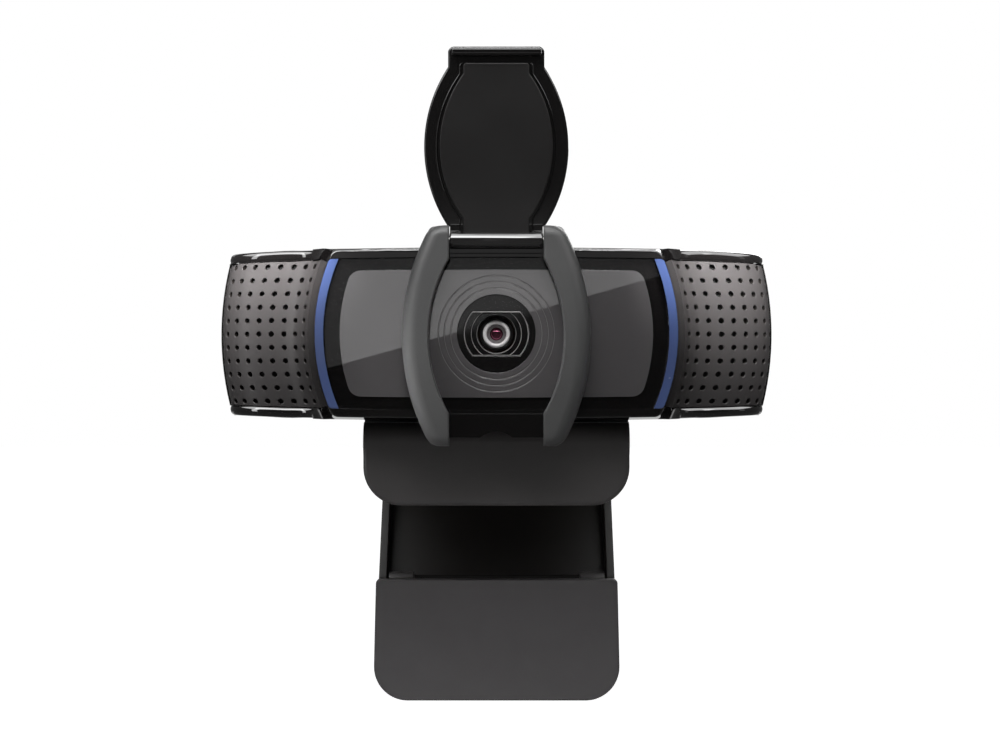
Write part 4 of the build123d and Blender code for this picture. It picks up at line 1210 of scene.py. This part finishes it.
@dataclass(frozen=True)
class ShutterFlap:
    """The privacy flap: a bowed gloss plate, a raised satin panel, a finger bead and a hinge barrel.

    Sizes are in millimetres from the hinge's axis.
    """

    tab_half: float = 7.95
    waist_half: float = 11.9
    root: float = 2.4
    tab_length: float = 3.4
    thickness: float = 1.3
    edge: float = 0.4
    panel_raise: float = 0.7
    panel_half: float = 9.3
    panel_end_half: float = 5.4
    panel_margin: float = 1.2
    panel_foot: float = 1.15
    panel_head: float = 1.75
    ridge_gap: float = 0.55
    ridge_r: float = 0.16
    bead_half: float = 7.4
    bead_height: float = 1.5
    bead_length: float = 1.7
    barrel_r: float = 1.25
    barrel_half: float = 7.66
    neck_half: float = 7.64
    neck_top: float = 0.95
    neck_fall: float = 0.9
    neck_back: float = 0.88
    neck_foot: float = 0.7
    neck_rise: float = 0.3
    bow_steps: int = 40
    turns: int = 40

    @property
    def axis(self) -> Vector:
        """The middle of the hinge."""
        low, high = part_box("shutter_pin")
        return (low + high) / 2

    @property
    def length(self) -> float:
        """Height of the flap's tip."""
        return (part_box("shutter_flap")[1].z - self.axis.z) / MM

    @property
    def back(self) -> float:
        """Depth of the plate's back."""
        return (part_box("shutter_flap")[1].y - self.axis.y) / MM

    @property
    def face(self) -> float:
        """Depth of the plate's front."""
        return self.back - self.thickness

    def placed(self, points: list[Flat], depth: float) -> list[Vector]:
        """Turn (across, height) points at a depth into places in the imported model's frame."""
        return [self.axis + Vector((x, depth, z)) * MM for x, z in points]

    def both_sides(self, right: list[Flat]) -> list[Flat]:
        """Close an outline with the mirror image of its right side."""
        return right + [(-x, z) for x, z in reversed(right)]

    def plate(self) -> Piece:
        """The bowed plate with its square tab.

        Returns:
            The plate.
        """
        right = bowed(self.tab_half, self.waist_half, self.root, self.length - self.tab_length, self.bow_steps)
        corner = 2 * self.edge
        right += [
            (self.tab_half, self.length - corner),
            (self.tab_half - corner * CHAMFER, self.length - corner * CHAMFER),
            (self.tab_half - corner, self.length)]
        outline = self.placed(self.both_sides(right), self.face)
        return prism("flap_plate", outline, Vector((0.0, self.thickness * MM, 0.0)), self.edge)

    def panel_side(self, outward: float) -> list[Flat]:
        """The right side of the raised panel, moved outwards.

        Args:
            outward: How far it is moved.

        Returns:
            The points, from the foot up.
        """
        low = self.root + self.panel_margin
        high = self.length - self.tab_length - self.panel_margin
        side = bowed(self.panel_end_half + outward, self.panel_half + outward, low, high, self.bow_steps)
        top = high + self.panel_head
        end = side[-1][0]
        cut = self.edge * CHAMFER
        tip = [(end, top - self.edge), (end - cut, top - cut), (end - self.edge, top)]
        return [(side[0][0], self.panel_foot), *side, *tip]

    def panel(self) -> Piece:
        """The raised panel."""
        outline = self.placed(self.both_sides(self.panel_side(0.0)), self.face - self.panel_raise)
        return prism("flap_panel", outline, Vector((0.0, self.panel_raise * MM, 0.0)), self.ridge_r)

    def ridges(self) -> list[Piece]:
        """The fine ridges that follow the panel's sides.

        Returns:
            A ridge for each side.
        """
        side = self.panel_side(self.ridge_gap)
        pieces = []
        for way in Side:
            path = self.placed([(way.value * x, z) for x, z in side], self.face)
            pieces.append(bead(f"flap_{way.word}_ridge", path, self.ridge_r * MM, False))
        return pieces

    def finger_bead(self) -> Piece:
        """The bead at the tip that a finger lifts.

        Returns:
            The bead.
        """
        side = [(self.bead_half, self.length - self.bead_length), (self.bead_half, self.length - self.edge)]
        outline = self.placed(self.both_sides(side), self.face - self.bead_height)
        return prism("flap_finger_bead", outline, Vector((0.0, self.bead_height * MM, 0.0)), self.edge)

    def neck(self) -> Piece:
        """The web from the barrel up to the plate.

        Returns:
            The web.
        """
        top = self.barrel_r * self.neck_top
        side = [
            (0.0, top * self.neck_fall), (self.face, top), (self.face, self.root + self.edge),
            (self.back - self.edge, self.root + self.edge), (self.back - self.edge, self.root),
            (self.barrel_r, self.barrel_r * self.neck_back),
            (self.barrel_r * self.neck_foot, self.neck_rise), (0.0, 0.0)]
        outline = [self.axis + Vector((-self.neck_half, y, z)) * MM for y, z in side]
        return prism("flap_neck", outline, Vector((2 * self.neck_half * MM, 0.0, 0.0)), self.ridge_r / 2)

    def barrel(self) -> Piece:
        """The hinge barrel, rounded at its ends.

        Returns:
            The barrel.
        """
        round_r = self.edge / 2
        cut = round_r * CHAMFER
        reach = 2 * self.barrel_half
        end = [(0.0, 0.0), (self.barrel_r - round_r, 0.0), (self.barrel_r - cut, cut), (self.barrel_r, round_r)]
        profile = end + [(radius, reach - along) for radius, along in reversed(end)]
        start = self.axis - Vector((self.barrel_half * MM, 0.0, 0.0))
        scaled = [(radius * MM, along * MM) for radius, along in profile]
        return lathe("flap_barrel", scaled, self.turns, start, ACROSS)

    def dress(self, shop: Workshop) -> None:
        """Build the flap and put it in place of its node.

        Args:
            shop: The workshop with the materials.
        """
        shop.put_in_place(self.plate(), "shutter_flap")
        shop.put_on(self.panel(), "shutter_flap", "flap_panel")
        shop.put_on(self.barrel(), "shutter_flap", "barrel_black")
        for piece in (*self.ridges(), self.finger_bead(), self.neck()):
            shop.put_on(piece, "shutter_flap")


def arc_half(end: float, middle: float, low: float, high: float, at: float) -> float:
    """Half width of an outline that bows from its ends to its middle.

    Args:
        end: Half width at both ends.
        middle: Half width in the middle.
        low: Height of the lower end.
        high: Height of the upper end.
        at: Height that is asked for.

    Returns:
        The half width there.
    """
    bow = middle - end
    radius = ((high - low) ** 2 / 4 + bow**2) / (2 * bow)
    return middle - radius + math.sqrt(radius**2 - (at - (low + high) / 2) ** 2)


@dataclass(frozen=True)
class ShutterArm:
    """One bowed arm of the shutter frame, with a broad round on its outer front edge.

    Sizes are in millimetres from the lens.
    """

    side: Side
    gap_half: float = 7.75
    waist_half: float = 11.1
    outer_half: float = 15.5
    end_half: float = 10.8
    top: float = 17.65
    bottom: float = -18.5
    straight_top: float = 12.2
    straight_bottom: float = -13.2
    thick: float = 4.2
    round_r: float = 2.5
    tip_r: float = 1.6
    tip_narrow: float = 0.8
    edge: float = 0.2
    count: int = 64
    round_steps: int = 9
    bar_gap: float = 0.05
    bar_y: float = -15.0
    hook_y: float = -12.25
    back_y: float = -12.2
    between_half: float = 7.7
    between_y: float = -12.1
    tuck_across: float = 0.6
    tuck_depth: float = 0.5
    tuck_height: float = 0.93

    def inner(self, z: float) -> float:
        """The inner side's distance from the middle.

        Args:
            z: Height from the lens.

        Returns:
            The distance at that height.
        """
        if self.straight_bottom < z < self.straight_top:
            return arc_half(self.gap_half, self.waist_half, self.straight_bottom, self.straight_top, z)
        return self.gap_half

    def outer(self, z: float) -> float:
        """The outer side's distance from the middle, before the tips are rounded."""
        return arc_half(self.end_half, self.outer_half, self.bottom, self.top, z)

    def heights(self) -> list[float]:
        """Heights of the sections, closer together at the tips.

        Returns:
            The heights, from the bottom up.
        """
        half = (self.top - self.bottom) / 2
        middle = (self.top + self.bottom) / 2
        even = [middle - half * math.cos(math.pi * step / self.count) for step in range(self.count + 1)]
        return sorted({*even, self.straight_top, self.straight_bottom})

    def section(self, z: float, front: float) -> list[Flat]:
        """The arm's section at a height, as (across, depth).

        Args:
            z: Height from the lens.
            front: Depth of the arm's front.

        Returns:
            The section's points, in order.
        """
        near = min(self.top - z, z - self.bottom, self.tip_r)
        tuck = self.tip_r - math.sqrt(max(self.tip_r**2 - (self.tip_r - near) ** 2, 0.0))
        inner = self.inner(z)
        outer = self.outer(z) - self.tip_narrow * tuck
        face = front + tuck
        back = front + self.thick
        round_r = min(self.round_r, outer - inner - 2 * self.edge)
        points = [(inner, back), (inner, face + self.edge), (inner + self.edge, face)]
        points += [(outer - across, face + depth) for across, depth in quarter_round(round_r, self.round_steps)]
        return [*points, (outer, back)]

    def build(self) -> Piece:
        """Sweep the section up the arm.

        Returns:
            The arm.
        """
        front = from_lens(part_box("shutter_frame")[0]).y
        shape = bmesh.new()
        rows = []
        for z in self.heights():
            points = [Vector((self.side.value * x, y, z)) for x, y in self.section(z, front)]
            rows.append([shape.verts.new(lens_place() + point * MM) for point in points])
        skin(shape, rows)
        for row in (rows[0], rows[-1]):
            shape.faces.new(row)
        piece = linked(f"shutter_{self.side.word}_arm", shape, TURNED_CORNER_DEG)
        piece.modifiers.new("even_shading", "WEIGHTED_NORMAL").keep_sharp = True
        return piece

    def tucked(self, point: Vector) -> Vector:
        """Draw a point of the shutter frame's own arms in, where a rounder arm covers it.

        Args:
            point: A point of the shutter frame, from the lens.

        Returns:
            The moved point, or the same point where no arm covers it.
        """
        is_bar = abs(point.x) < self.gap_half + self.bar_gap and point.y > self.bar_y
        if is_bar or point.y > self.hook_y:
            return point
        z = min(max(point.z, self.bottom), self.top)
        middle = (self.inner(z) + self.outer(z)) / 2
        across = middle + (abs(point.x) - middle) * self.tuck_across
        y = self.back_y + (point.y - self.back_y) * self.tuck_depth
        return Vector((math.copysign(across, point.x), y, point.z * self.tuck_height))

    def is_between(self, point: Vector, normal: Vector) -> bool:
        """True on the bars between the shutter frame's arms, and on their hooks."""
        return abs(point.x) < self.between_half or point.y > self.between_y

    def dress(self, shop: Workshop) -> None:
        """Build the arm and let the shutter frame's body carry it."""
        shop.put_on(self.build(), "shutter_frame")


@dataclass(frozen=True)
class LensFront:
    """What shows of the lens: a rolled bright ring, a grey cone with the domed glass in it, and fine light grey lines
    round it. The cone's grey is partly painted shade, and the lines are painted highlights.
    """

    pupil_mm: float = 1.08
    roll_mm: float = 0.66
    cone_mm: float = 1.66
    cone_top: float = 0.4
    cone_foot: float = 0.8
    roll_steps: int = 8
    dome_steps: int = 12
    turns: int = 72
    aperture_mm: float = 5.3
    flat_mm: float = 3.6
    bore_mm: float = 4.2
    throat_mm: float = 3.3
    bore_depth_mm: float = 1.0
    throat_depth_mm: float = 2.9
    line_mm: float = 0.1
    groove_mm: tuple[float, ...] = (7.55, 8.6, 9.6)

    def turned(self, name: str, profile: list[Flat], front: float) -> Piece:
        """Turn a profile about the lens axis, from a depth."""
        return lathe(name, profile, self.turns, Vector((0.0, front, lens_place().z)), AWAY)

    def ring(self) -> Piece:
        """The retaining ring, rolled over at the front.

        Returns:
            The ring.
        """
        low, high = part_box("lens_retainer")
        outer = (high.x - low.x) / 2
        depth = high.y - low.y
        roll = self.roll_mm * MM / 2
        profile = [(outer - 2 * roll, depth), (outer, depth)]
        for step in range(self.roll_steps + 1):
            turn = math.pi * step / self.roll_steps
            profile.append((outer - roll * (1 - math.cos(turn)), roll * (1 - math.sin(turn))))
        return self.turned("lens_ring", profile, low.y)

    def cone(self) -> Piece:
        """The grey cone that falls from the ring to the glass.

        Returns:
            The cone.
        """
        low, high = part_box("lens_retainer")
        depth = high.y - low.y
        wide = self.cone_mm * MM
        inner = self.pupil_mm * MM
        profile = [(wide, depth), (wide, depth * self.cone_top), (inner, depth * self.cone_foot), (inner, depth)]
        return self.turned("lens_cone", profile, low.y)

    def glass(self) -> Piece:
        """The domed front glass.

        Returns:
            The glass.
        """
        low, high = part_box("front_lens")
        flange = (high.x - low.x) / 2
        pupil = self.pupil_mm * MM
        depth = high.y - low.y
        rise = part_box("lens_retainer")[1].y - low.y
        ball = (pupil**2 + rise**2) / (2 * rise)
        sweep = math.asin(pupil / ball)
        profile = [(0.0, depth)]
        for step in range(self.dome_steps + 1):
            angle = sweep * step / self.dome_steps
            profile.append((ball * math.sin(angle), ball * (1 - math.cos(angle))))
        profile += [(flange, rise), (flange, depth)]
        return self.turned("lens_glass", profile, low.y)

    def rounds(self, radius: float, flat: float) -> list[Flat]:
        """A circle cut off above and below, as (across, height).

        Args:
            radius: The circle's radius.
            flat: Height of the cuts.

        Returns:
            The points, in order.
        """
        points = [(radius * math.cos(angle), radius * math.sin(angle)) for angle in full_turn(self.turns * 2)]
        return [(math.copysign(math.sqrt(radius**2 - flat**2), x) if abs(z) > flat else x,
                 math.copysign(min(abs(z), flat), z)) for x, z in points]

    def lines(self) -> list[tuple[Piece, str]]:
        """Light grey beads along the hood's edges and in the panel's grooves, which are painted highlights of those
        edges, each with its node.

        Returns:
            The lines and their nodes.
        """
        whole = self.flat_mm + self.bore_mm
        rows = [
            ("hood_opening_line", "lens_hood", self.aperture_mm, self.flat_mm, 0.0, self.line_mm),
            ("hood_bore_line", "lens_hood", self.bore_mm, whole, self.bore_depth_mm, self.line_mm),
            ("hood_throat_line", "lens_hood", self.throat_mm, whole, self.throat_depth_mm, self.line_mm)]
        for at, radius in enumerate(self.groove_mm):
            rows.append((f"panel_line_{at}", "face_panel", radius, 2 * radius, 0.0, self.line_mm / 2))
        pieces = []
        for name, node, radius, flat, depth, thick in rows:
            points = self.rounds(radius, flat)
            place = Vector((0.0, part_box(node)[0].y + (depth + self.line_mm) * MM, lens_place().z))
            path = [place + Vector((x, 0.0, z)) * MM for at, (x, z) in enumerate(points) if (x, z) != points[at - 1]]
            pieces.append((bead(name, path, thick * MM, True), node))
        return pieces

    def dress(self, shop: Workshop) -> None:
        """Build the pieces and put them in place.

        Args:
            shop: The workshop with the materials.
        """
        shop.put_in_place(self.ring(), "lens_retainer")
        # The cone's grey is partly painted shade
        shop.put_on(self.cone(), "lens_retainer", "lens_cone")
        shop.put_in_place(self.glass(), "front_lens")
        for piece, node in self.lines():
            # The light grey lines are painted highlights
            shop.put_on(piece, node, "painted_highlight_line")


@dataclass(frozen=True)
class HeadSeal:
    """A soft strip under the head, behind the hinge, that shuts the running gap to the eye."""

    half_mm: float = 22.6
    behind_mm: float = 4.7
    thick_mm: float = 0.9
    drop_mm: float = 0.65
    round_mm: float = 0.2

    def dress(self, shop: Workshop) -> None:
        """Build the strip and let the head carry it.

        Args:
            shop: The workshop with the materials.
        """
        low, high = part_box("tilt_pin")
        hinge_y = (low.y + high.y) / 2
        floor_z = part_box("rear_housing")[0].z
        corner = Vector((-self.half_mm * MM, hinge_y + self.behind_mm * MM, floor_z - self.drop_mm * MM))
        wide = Vector((2 * self.half_mm * MM, 0.0, 0.0))
        tall = Vector((0.0, 0.0, (self.drop_mm + self.round_mm) * MM))
        outline = [corner, corner + wide, corner + wide + tall, corner + tall]
        piece = prism("head_seal", outline, Vector((0.0, self.thick_mm * MM, 0.0)), self.round_mm)
        shop.put_on(piece, "rear_housing", "rubber_black")


@dataclass(frozen=True)
class ScrewSet:
    """The housing's four screws, with a rounded head and a cross recess."""

    node: str = "housing_screws"
    head_r: float = 1.9
    shank_r: float = 1.0
    head_mm: float = 1.05
    round_mm: float = 0.3
    recess_reach: float = 1.15
    recess_half: float = 0.28
    recess_mm: float = 0.75
    recess_taper: float = 0.8

    def angles(self) -> list[float]:
        """Steps round a screw that have a corner at each corner of the recess.

        Returns:
            The angles, in order.
        """
        arm = math.atan2(self.recess_half, self.recess_reach)
        between = (arm + math.pi / 4) / 2
        steps = (-arm, 0.0, arm, between, math.pi / 4, math.pi / 2 - between)
        return [quarter * math.pi / 2 + step for quarter in range(4) for step in steps]

    def recess(self, angle: float) -> float:
        """How far the cross recess reaches in a direction, in millimetres.

        Args:
            angle: The direction.

        Returns:
            The reach.
        """
        folded = abs((angle + math.pi / 4) % (math.pi / 2) - math.pi / 4)
        if math.tan(folded) * self.recess_reach <= self.recess_half:
            return self.recess_reach / math.cos(folded)
        return self.recess_half / math.sin(folded)

    def rows(self, length: float) -> list[tuple[list[float], float]]:
        """Radii and depths from the recess's floor, over the head and down to the tip, in millimetres.

        Args:
            length: The screw's whole length.

        Returns:
            For each row, a radius at every angle and a depth.
        """
        cross = [self.recess(angle) for angle in self.angles()]
        narrow = [self.recess_taper * reach for reach in cross]
        turned = (
            (self.head_r - self.round_mm, 0.0),
            (self.head_r - CHAMFER * self.round_mm, CHAMFER * self.round_mm),
            (self.head_r, self.round_mm),
            (self.head_r, self.head_mm),
            (self.shank_r, self.head_mm),
            (self.shank_r, length),
            (0.0, length),
        )
        rows = [([0.0] * len(cross), self.recess_mm), (narrow, self.recess_mm), (cross, 0.0)]
        return rows + [([radius] * len(cross), depth) for radius, depth in turned]

    def dress(self, shop: Workshop) -> None:
        """Build the screws and put them in place of the plain ones.

        Args:
            shop: The workshop with the materials.
        """
        low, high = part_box(self.node)
        shape = bmesh.new()
        inset = self.head_r * MM
        for x, z in product((low.x + inset, high.x - inset), (low.z + inset, high.z - inset)):
            rows = []
            for radii, depth in self.rows((high.y - low.y) / MM):
                middle = Vector((x, high.y - depth * MM, z))
                ways = [ACROSS * math.cos(angle) + UP * math.sin(angle) for angle in self.angles()]
                rows.append([shape.verts.new(middle + way * radius * MM) for way, radius in zip(ways, radii)])
            skin(shape, rows)
        shop.put_in_place(welded("cross_screws", shape), self.node)


@dataclass(frozen=True)
class ThreadedInsert:
    """The tripod insert, with the grooves of its thread."""

    node: str = "tripod_insert"
    bore_r: float = 2.6
    bore_mm: float = 5.4
    groove_mm: float = 0.5
    pitch_mm: float = 1.27
    threads: int = 3
    mouth_mm: float = 0.6
    edge_mm: float = 0.1
    turns: int = 48
    # One thread from its crest to the next: share of the groove's depth, and share of the pitch
    thread: tuple[Flat, ...] = ((0.0, 0.2), (1.0, 0.65), (1.0, 0.75), (0.0, 1.2))

    def profile(self, outer: float, length: float) -> list[Flat]:
        """Half of the insert's section, as radius and height in millimetres.

        Args:
            outer: The insert's radius.
            length: Its height.

        Returns:
            The corners, in order.
        """
        corners = [(0.0, self.bore_mm), (self.bore_r, self.bore_mm)]
        for turn, (deep, share) in product(range(self.threads), self.thread):
            corners.append((self.bore_r + deep * self.groove_mm, self.bore_mm - (turn + share) * self.pitch_mm))
        mouth = [(self.bore_r, self.mouth_mm), (self.bore_r + self.mouth_mm, 0.0)]
        mouth += [(outer - self.edge_mm, 0.0), (outer, self.edge_mm)]
        return corners + mouth + [(outer, length), (0.0, length)]

    def dress(self, shop: Workshop) -> None:
        """Build the insert and put it in place of the plain one.

        Args:
            shop: The workshop with the materials.
        """
        low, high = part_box(self.node)
        corners = self.profile((high.x - low.x) / 2 / MM, (high.z - low.z) / MM)
        place = Vector(((low.x + high.x) / 2, (low.y + high.y) / 2, low.z))
        scaled = [(radius * MM, along * MM) for radius, along in corners]
        piece = lathe("threaded_insert", scaled, self.turns, place, UP)
        shop.put_in_place(piece, self.node)


@cache
def lens_place() -> Vector:
    """The lens axis at the middle of the head's depth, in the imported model's frame.

    Returns:
        The place in metres.
    """
    hood_low, hood_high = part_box("lens_hood")
    depth = (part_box("front_frame")[0].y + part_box("rear_housing")[1].y) / 2
    return Vector((0.0, depth, (hood_low.z + hood_high.z) / 2))


@dataclass(frozen=True)
class SoftBox:
    """A square studio lamp, given by its place and aim from the lens."""

    name: str
    place: tuple[float, float, float]
    size: tuple[float, float]
    watts: float
    aim: tuple[float, float, float] = (0.0, 0.0, 0.0)
    in_gloss: bool = True
    spread_deg: float = 180.0

    def build(self, lens: Vector) -> None:
        """Hang the lamp and aim it.

        Args:
            lens: The lens axis at the middle of the head.
        """
        lamp = bpy.data.lights.new(self.name, "AREA")
        lamp.shape = "RECTANGLE"
        lamp.size, lamp.size_y = self.size
        lamp.energy = self.watts
        lamp.spread = math.radians(self.spread_deg)
        holder = bpy.data.objects.new(self.name, lamp)
        holder.location = lens + Vector(self.place)
        holder.rotation_euler = (Vector(self.aim) - Vector(self.place)).to_track_quat("-Z", "Y").to_euler()
        holder.visible_camera = False
        holder.visible_glossy = self.in_gloss
        bpy.context.scene.collection.objects.link(holder)


@dataclass(frozen=True)
class Card:
    """A card that only gloss faces see, given by its corners from the lens."""

    name: str
    corners: tuple[tuple[float, float, float], ...]
    level: float
    right_level: float | None = None

    def build(self, lens: Vector) -> Piece:
        """Hang the card.

        Args:
            lens: The lens axis at the middle of the head.

        Returns:
            The card.
        """
        mesh = bpy.data.meshes.new(self.name)
        mesh.from_pydata([lens + Vector(corner) for corner in self.corners], [], [tuple(range(len(self.corners)))])
        card = new_piece(self.name, mesh)
        material, tree = blank_material(self.name)
        place = add_node(tree, "ShaderNodeTexCoord", {}, {})
        across = add_node(tree, "ShaderNodeSeparateXYZ", {}, {"Vector": place.outputs["Generated"]})
        right = self.level if self.right_level is None else self.right_level
        level = add_node(tree, "ShaderNodeMapRange", {}, {
            "Value": across.outputs["X"], "To Min": self.level, "To Max": right})
        glow = add_node(tree, "ShaderNodeEmission", {}, {"Color": WHITE, "Strength": level.outputs["Result"]})
        add_node(tree, "ShaderNodeOutputMaterial", {}, {"Surface": glow.outputs["Emission"]})
        mesh.materials.append(material)
        card.visible_camera = False
        card.visible_shadow = False
        card.visible_diffuse = False
        return card


@dataclass(frozen=True)
class Studio:
    """Camera, lamps, floor and the cards that the gloss faces mirror."""

    camera_distance: float = 0.4
    camera_drop: float = 0.00684
    camera_right: float = 0.0006
    lens_mm: float = 84.79
    floor_drop: float = 0.14
    floor_size: float = 12.0
    floor_lift: float = 0.85
    sky_level: float = 0.25
    sensor_mm: float = 36.0
    paper: float = 0.9

    def build(self) -> None:
        """Set up the whole studio."""
        lens = lens_place()
        self.camera(lens)
        self.sky()
        self.floor()
        for card in CARDS:
            card.build(lens)
        for lamp in LAMPS:
            lamp.build(lens)
        bpy.context.scene.view_settings.view_transform = "Standard"

    def camera(self, lens: Vector) -> None:
        """Place the camera level, in front of the head.

        Args:
            lens: The lens axis at the middle of the head.
        """
        data = bpy.data.cameras.new("studio_camera")
        data.lens = self.lens_mm
        data.sensor_width = self.sensor_mm
        holder = bpy.data.objects.new("studio_camera", data)
        holder.location = lens + Vector((self.camera_right, -self.camera_distance, -self.camera_drop))
        holder.rotation_euler = (math.pi / 2, 0.0, 0.0)
        bpy.context.scene.collection.objects.link(holder)
        bpy.context.scene.camera = holder

    def sky(self) -> None:
        """White to the eye and in what gloss faces mirror, softer as light on the object."""
        world = bpy.data.worlds.new("studio_sky")
        bpy.context.scene.world = world
        world.use_nodes = True
        tree = world.node_tree
        tree.nodes.clear()
        ray = add_node(tree, "ShaderNodeLightPath", {}, {}).outputs
        seen = ray["Is Camera Ray"]
        for other in ("Is Glossy Ray", "Is Transmission Ray"):
            either = add_node(tree, "ShaderNodeMath", {"operation": "MAXIMUM"}, {0: seen, 1: ray[other]})
            seen = either.outputs["Value"]
        level = add_node(tree, "ShaderNodeMapRange", {}, {"Value": seen, "To Min": self.sky_level, "To Max": 1.0})
        light = add_node(tree, "ShaderNodeBackground", {}, {"Color": WHITE, "Strength": level.outputs["Result"]})
        add_node(tree, "ShaderNodeOutputWorld", {}, {"Surface": light.outputs["Background"]})

    def floor(self) -> None:
        """A pale floor well below the hanging foot, which takes the webcam's shadow and is clear from below."""
        low = min(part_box(node)[0].z for node in frame["nodes"])
        half = self.floor_size / 2
        z = low - self.floor_drop
        mesh = bpy.data.meshes.new("studio_floor")
        mesh.from_pydata([(-half, -half, z), (half, -half, z), (half, half, z), (-half, half, z)], [], [(0, 1, 2, 3)])
        floor = new_piece("studio_floor", mesh)
        material, tree = blank_material("paper_pale")
        ray = add_node(tree, "ShaderNodeLightPath", {}, {}).outputs
        lift = add_node(tree, "ShaderNodeMath", {"operation": "MULTIPLY"}, {
            0: ray["Is Camera Ray"], 1: self.floor_lift})
        paper = add_node(tree, "ShaderNodeBsdfPrincipled", {}, {
            "Base Color": (self.paper, self.paper, self.paper, 1.0), "Roughness": 0.9, "Emission Color": WHITE,
            "Emission Strength": lift.outputs["Value"]})
        side = add_node(tree, "ShaderNodeNewGeometry", {}, {})
        clear = add_node(tree, "ShaderNodeBsdfTransparent", {}, {})
        shader = add_node(tree, "ShaderNodeMixShader", {}, {
            0: side.outputs["Backfacing"], 1: paper.outputs["BSDF"], 2: clear.outputs["BSDF"]})
        add_node(tree, "ShaderNodeOutputMaterial", {}, {"Surface": shader.outputs["Shader"]})
        mesh.materials.append(material)


# The slanted card is mirrored across the window, the bright one along the upper edges; the rest keep the black deep
CARDS = (
    Card("window_card", (
        (-0.12, -1.0, -0.008), (-0.101, -1.0, -0.003), (0.072, -1.0, 0.045), (0.12, -1.0, 0.0585),
        (0.12, -1.0, 0.073), (-0.12, -1.0, 0.073)), 0.9, 0.65),
    Card("edge_card", ((-0.7, -0.42, 0.3), (0.7, -0.42, 0.3), (0.7, 0.12, 0.5), (-0.7, 0.12, 0.5)), 4.0),
    Card("rear_card", ((-0.5, 0.35, -0.17), (0.5, 0.35, -0.17), (0.5, 1.1, -0.17), (-0.5, 1.1, -0.17)), 0.5),
    Card("front_flag", ((-1.6, -1.05, -0.3), (1.6, -1.05, -0.3), (1.6, -1.05, 0.9), (-1.6, -1.05, 0.9)), 0.06),
    Card("top_flag", ((-1.6, -1.05, 0.7), (1.6, -1.05, 0.7), (1.6, 1.2, 0.7), (-1.6, 1.2, 0.7)), 0.08),
    Card("low_flag", ((-1.2, -1.05, -0.18), (1.2, -1.05, -0.18), (1.2, 1.2, -0.18), (-1.2, 1.2, -0.18)), 0.1),
    Card("left_flag", ((-0.9, -1.05, -0.3), (-0.9, 1.2, -0.3), (-0.9, 1.2, 0.6), (-0.9, -1.05, 0.6)), 0.1),
    Card("right_flag", ((0.9, -1.05, -0.3), (0.9, 1.2, -0.3), (0.9, 1.2, 0.6), (0.9, -1.05, 0.6)), 0.1),
    Card("rear_flag", ((-1.2, 1.2, -0.3), (1.2, 1.2, -0.3), (1.2, 1.2, 0.5), (-1.2, 1.2, 0.5)), 0.12),
)

LAMPS = (
    SoftBox("overhead_box", (-0.1, -0.22, 0.3), (0.5, 0.16), 1.25),
    SoftBox("left_strip", (-0.5, -0.3, 0.12), (0.1, 0.5), 0.7),
    SoftBox("right_strip", (0.55, -0.25, 0.15), (0.1, 0.5), 0.06),
    *(SoftBox(f"{side.word}_wing_strip", (side.value * 0.041, -0.03, 0.0245), (0.018, 0.006), 0.0168,
              (side.value * 0.04, -0.005, 0.013), False, 62.0) for side in Side),
    SoftBox("arm_strip", (-0.06, -0.026, -0.012), (0.004, 0.02), 0.0016, (-0.0155, -0.0155, -0.006), False, 20.0),
    SoftBox("arm_top_strip", (0.0, -0.05, 0.03), (0.036, 0.006), 0.0018, (0.0, -0.0155, 0.008), False, 50.0),
    SoftBox("low_box", (0.0, -0.085, -0.115), (0.09, 0.02), 0.018, (0.0, 0.015, -0.068), False, 60.0),
    SoftBox("rear_box", (0.06, 0.22, 0.1), (0.2, 0.1), 0.3),
)


RIGHT_ARM = ShutterArm(Side.RIGHT)
# Edge radius in millimetres of the smaller mouldings
SMALL_EDGES = {
    "clip_foot": 0.2, "foot_pad": 0.1, "lip_pad": 0.15, "seat_pad": 0.1, "lens_hood": 0.08, "lens_barrel": 0.05,
    "face_panel": 0.03, "left_light_guide": 0.15, "right_light_guide": 0.15, "cable_gland": 0.15, "tilt_bracket": 0.1}
ROUNDED_NODES = (
    RoundedMoulding("rear_housing", 0.25, formed=GrilleWing(Side.RIGHT).behind_rim),
    RoundedMoulding("front_frame", 0.2, "mask_black", lambda point, normal: normal.y < FACES_VIEWER),
    RoundedMoulding("shutter_frame", 0.3, "mask_black", RIGHT_ARM.is_between, RIGHT_ARM.tucked),
    RoundedMoulding("clip_base", 0.3),
    # The whole leg in near black: painted shade of its channel
    RoundedMoulding("clip_leg", 0.3, "painted_shade_black", lambda point, normal: True),
    *(RoundedMoulding(node, edge) for node, edge in SMALL_EDGES.items()),
)


def main() -> None:
    """Build and dress the webcam in its studio."""
    logging.basicConfig(level=logging.INFO, format="%(name)s: %(message)s")
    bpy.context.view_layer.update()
    Studio().build()
    shop = Workshop()
    shop.dress_nodes()
    for side in Side:
        wing = GrilleWing(side)
        wing.dress(shop)
        for level in Level:
            WingRim(wing, level).dress(shop)
        ShutterArm(side).dress(shop)
    ShutterFlap().dress(shop)
    LensFront().dress(shop)
    HeadSeal().dress(shop)
    ScrewSet().dress(shop)
    ThreadedInsert().dress(shop)
    for moulding in ROUNDED_NODES:
        moulding.dress(shop)


if __name__ == "__main__":
    main()
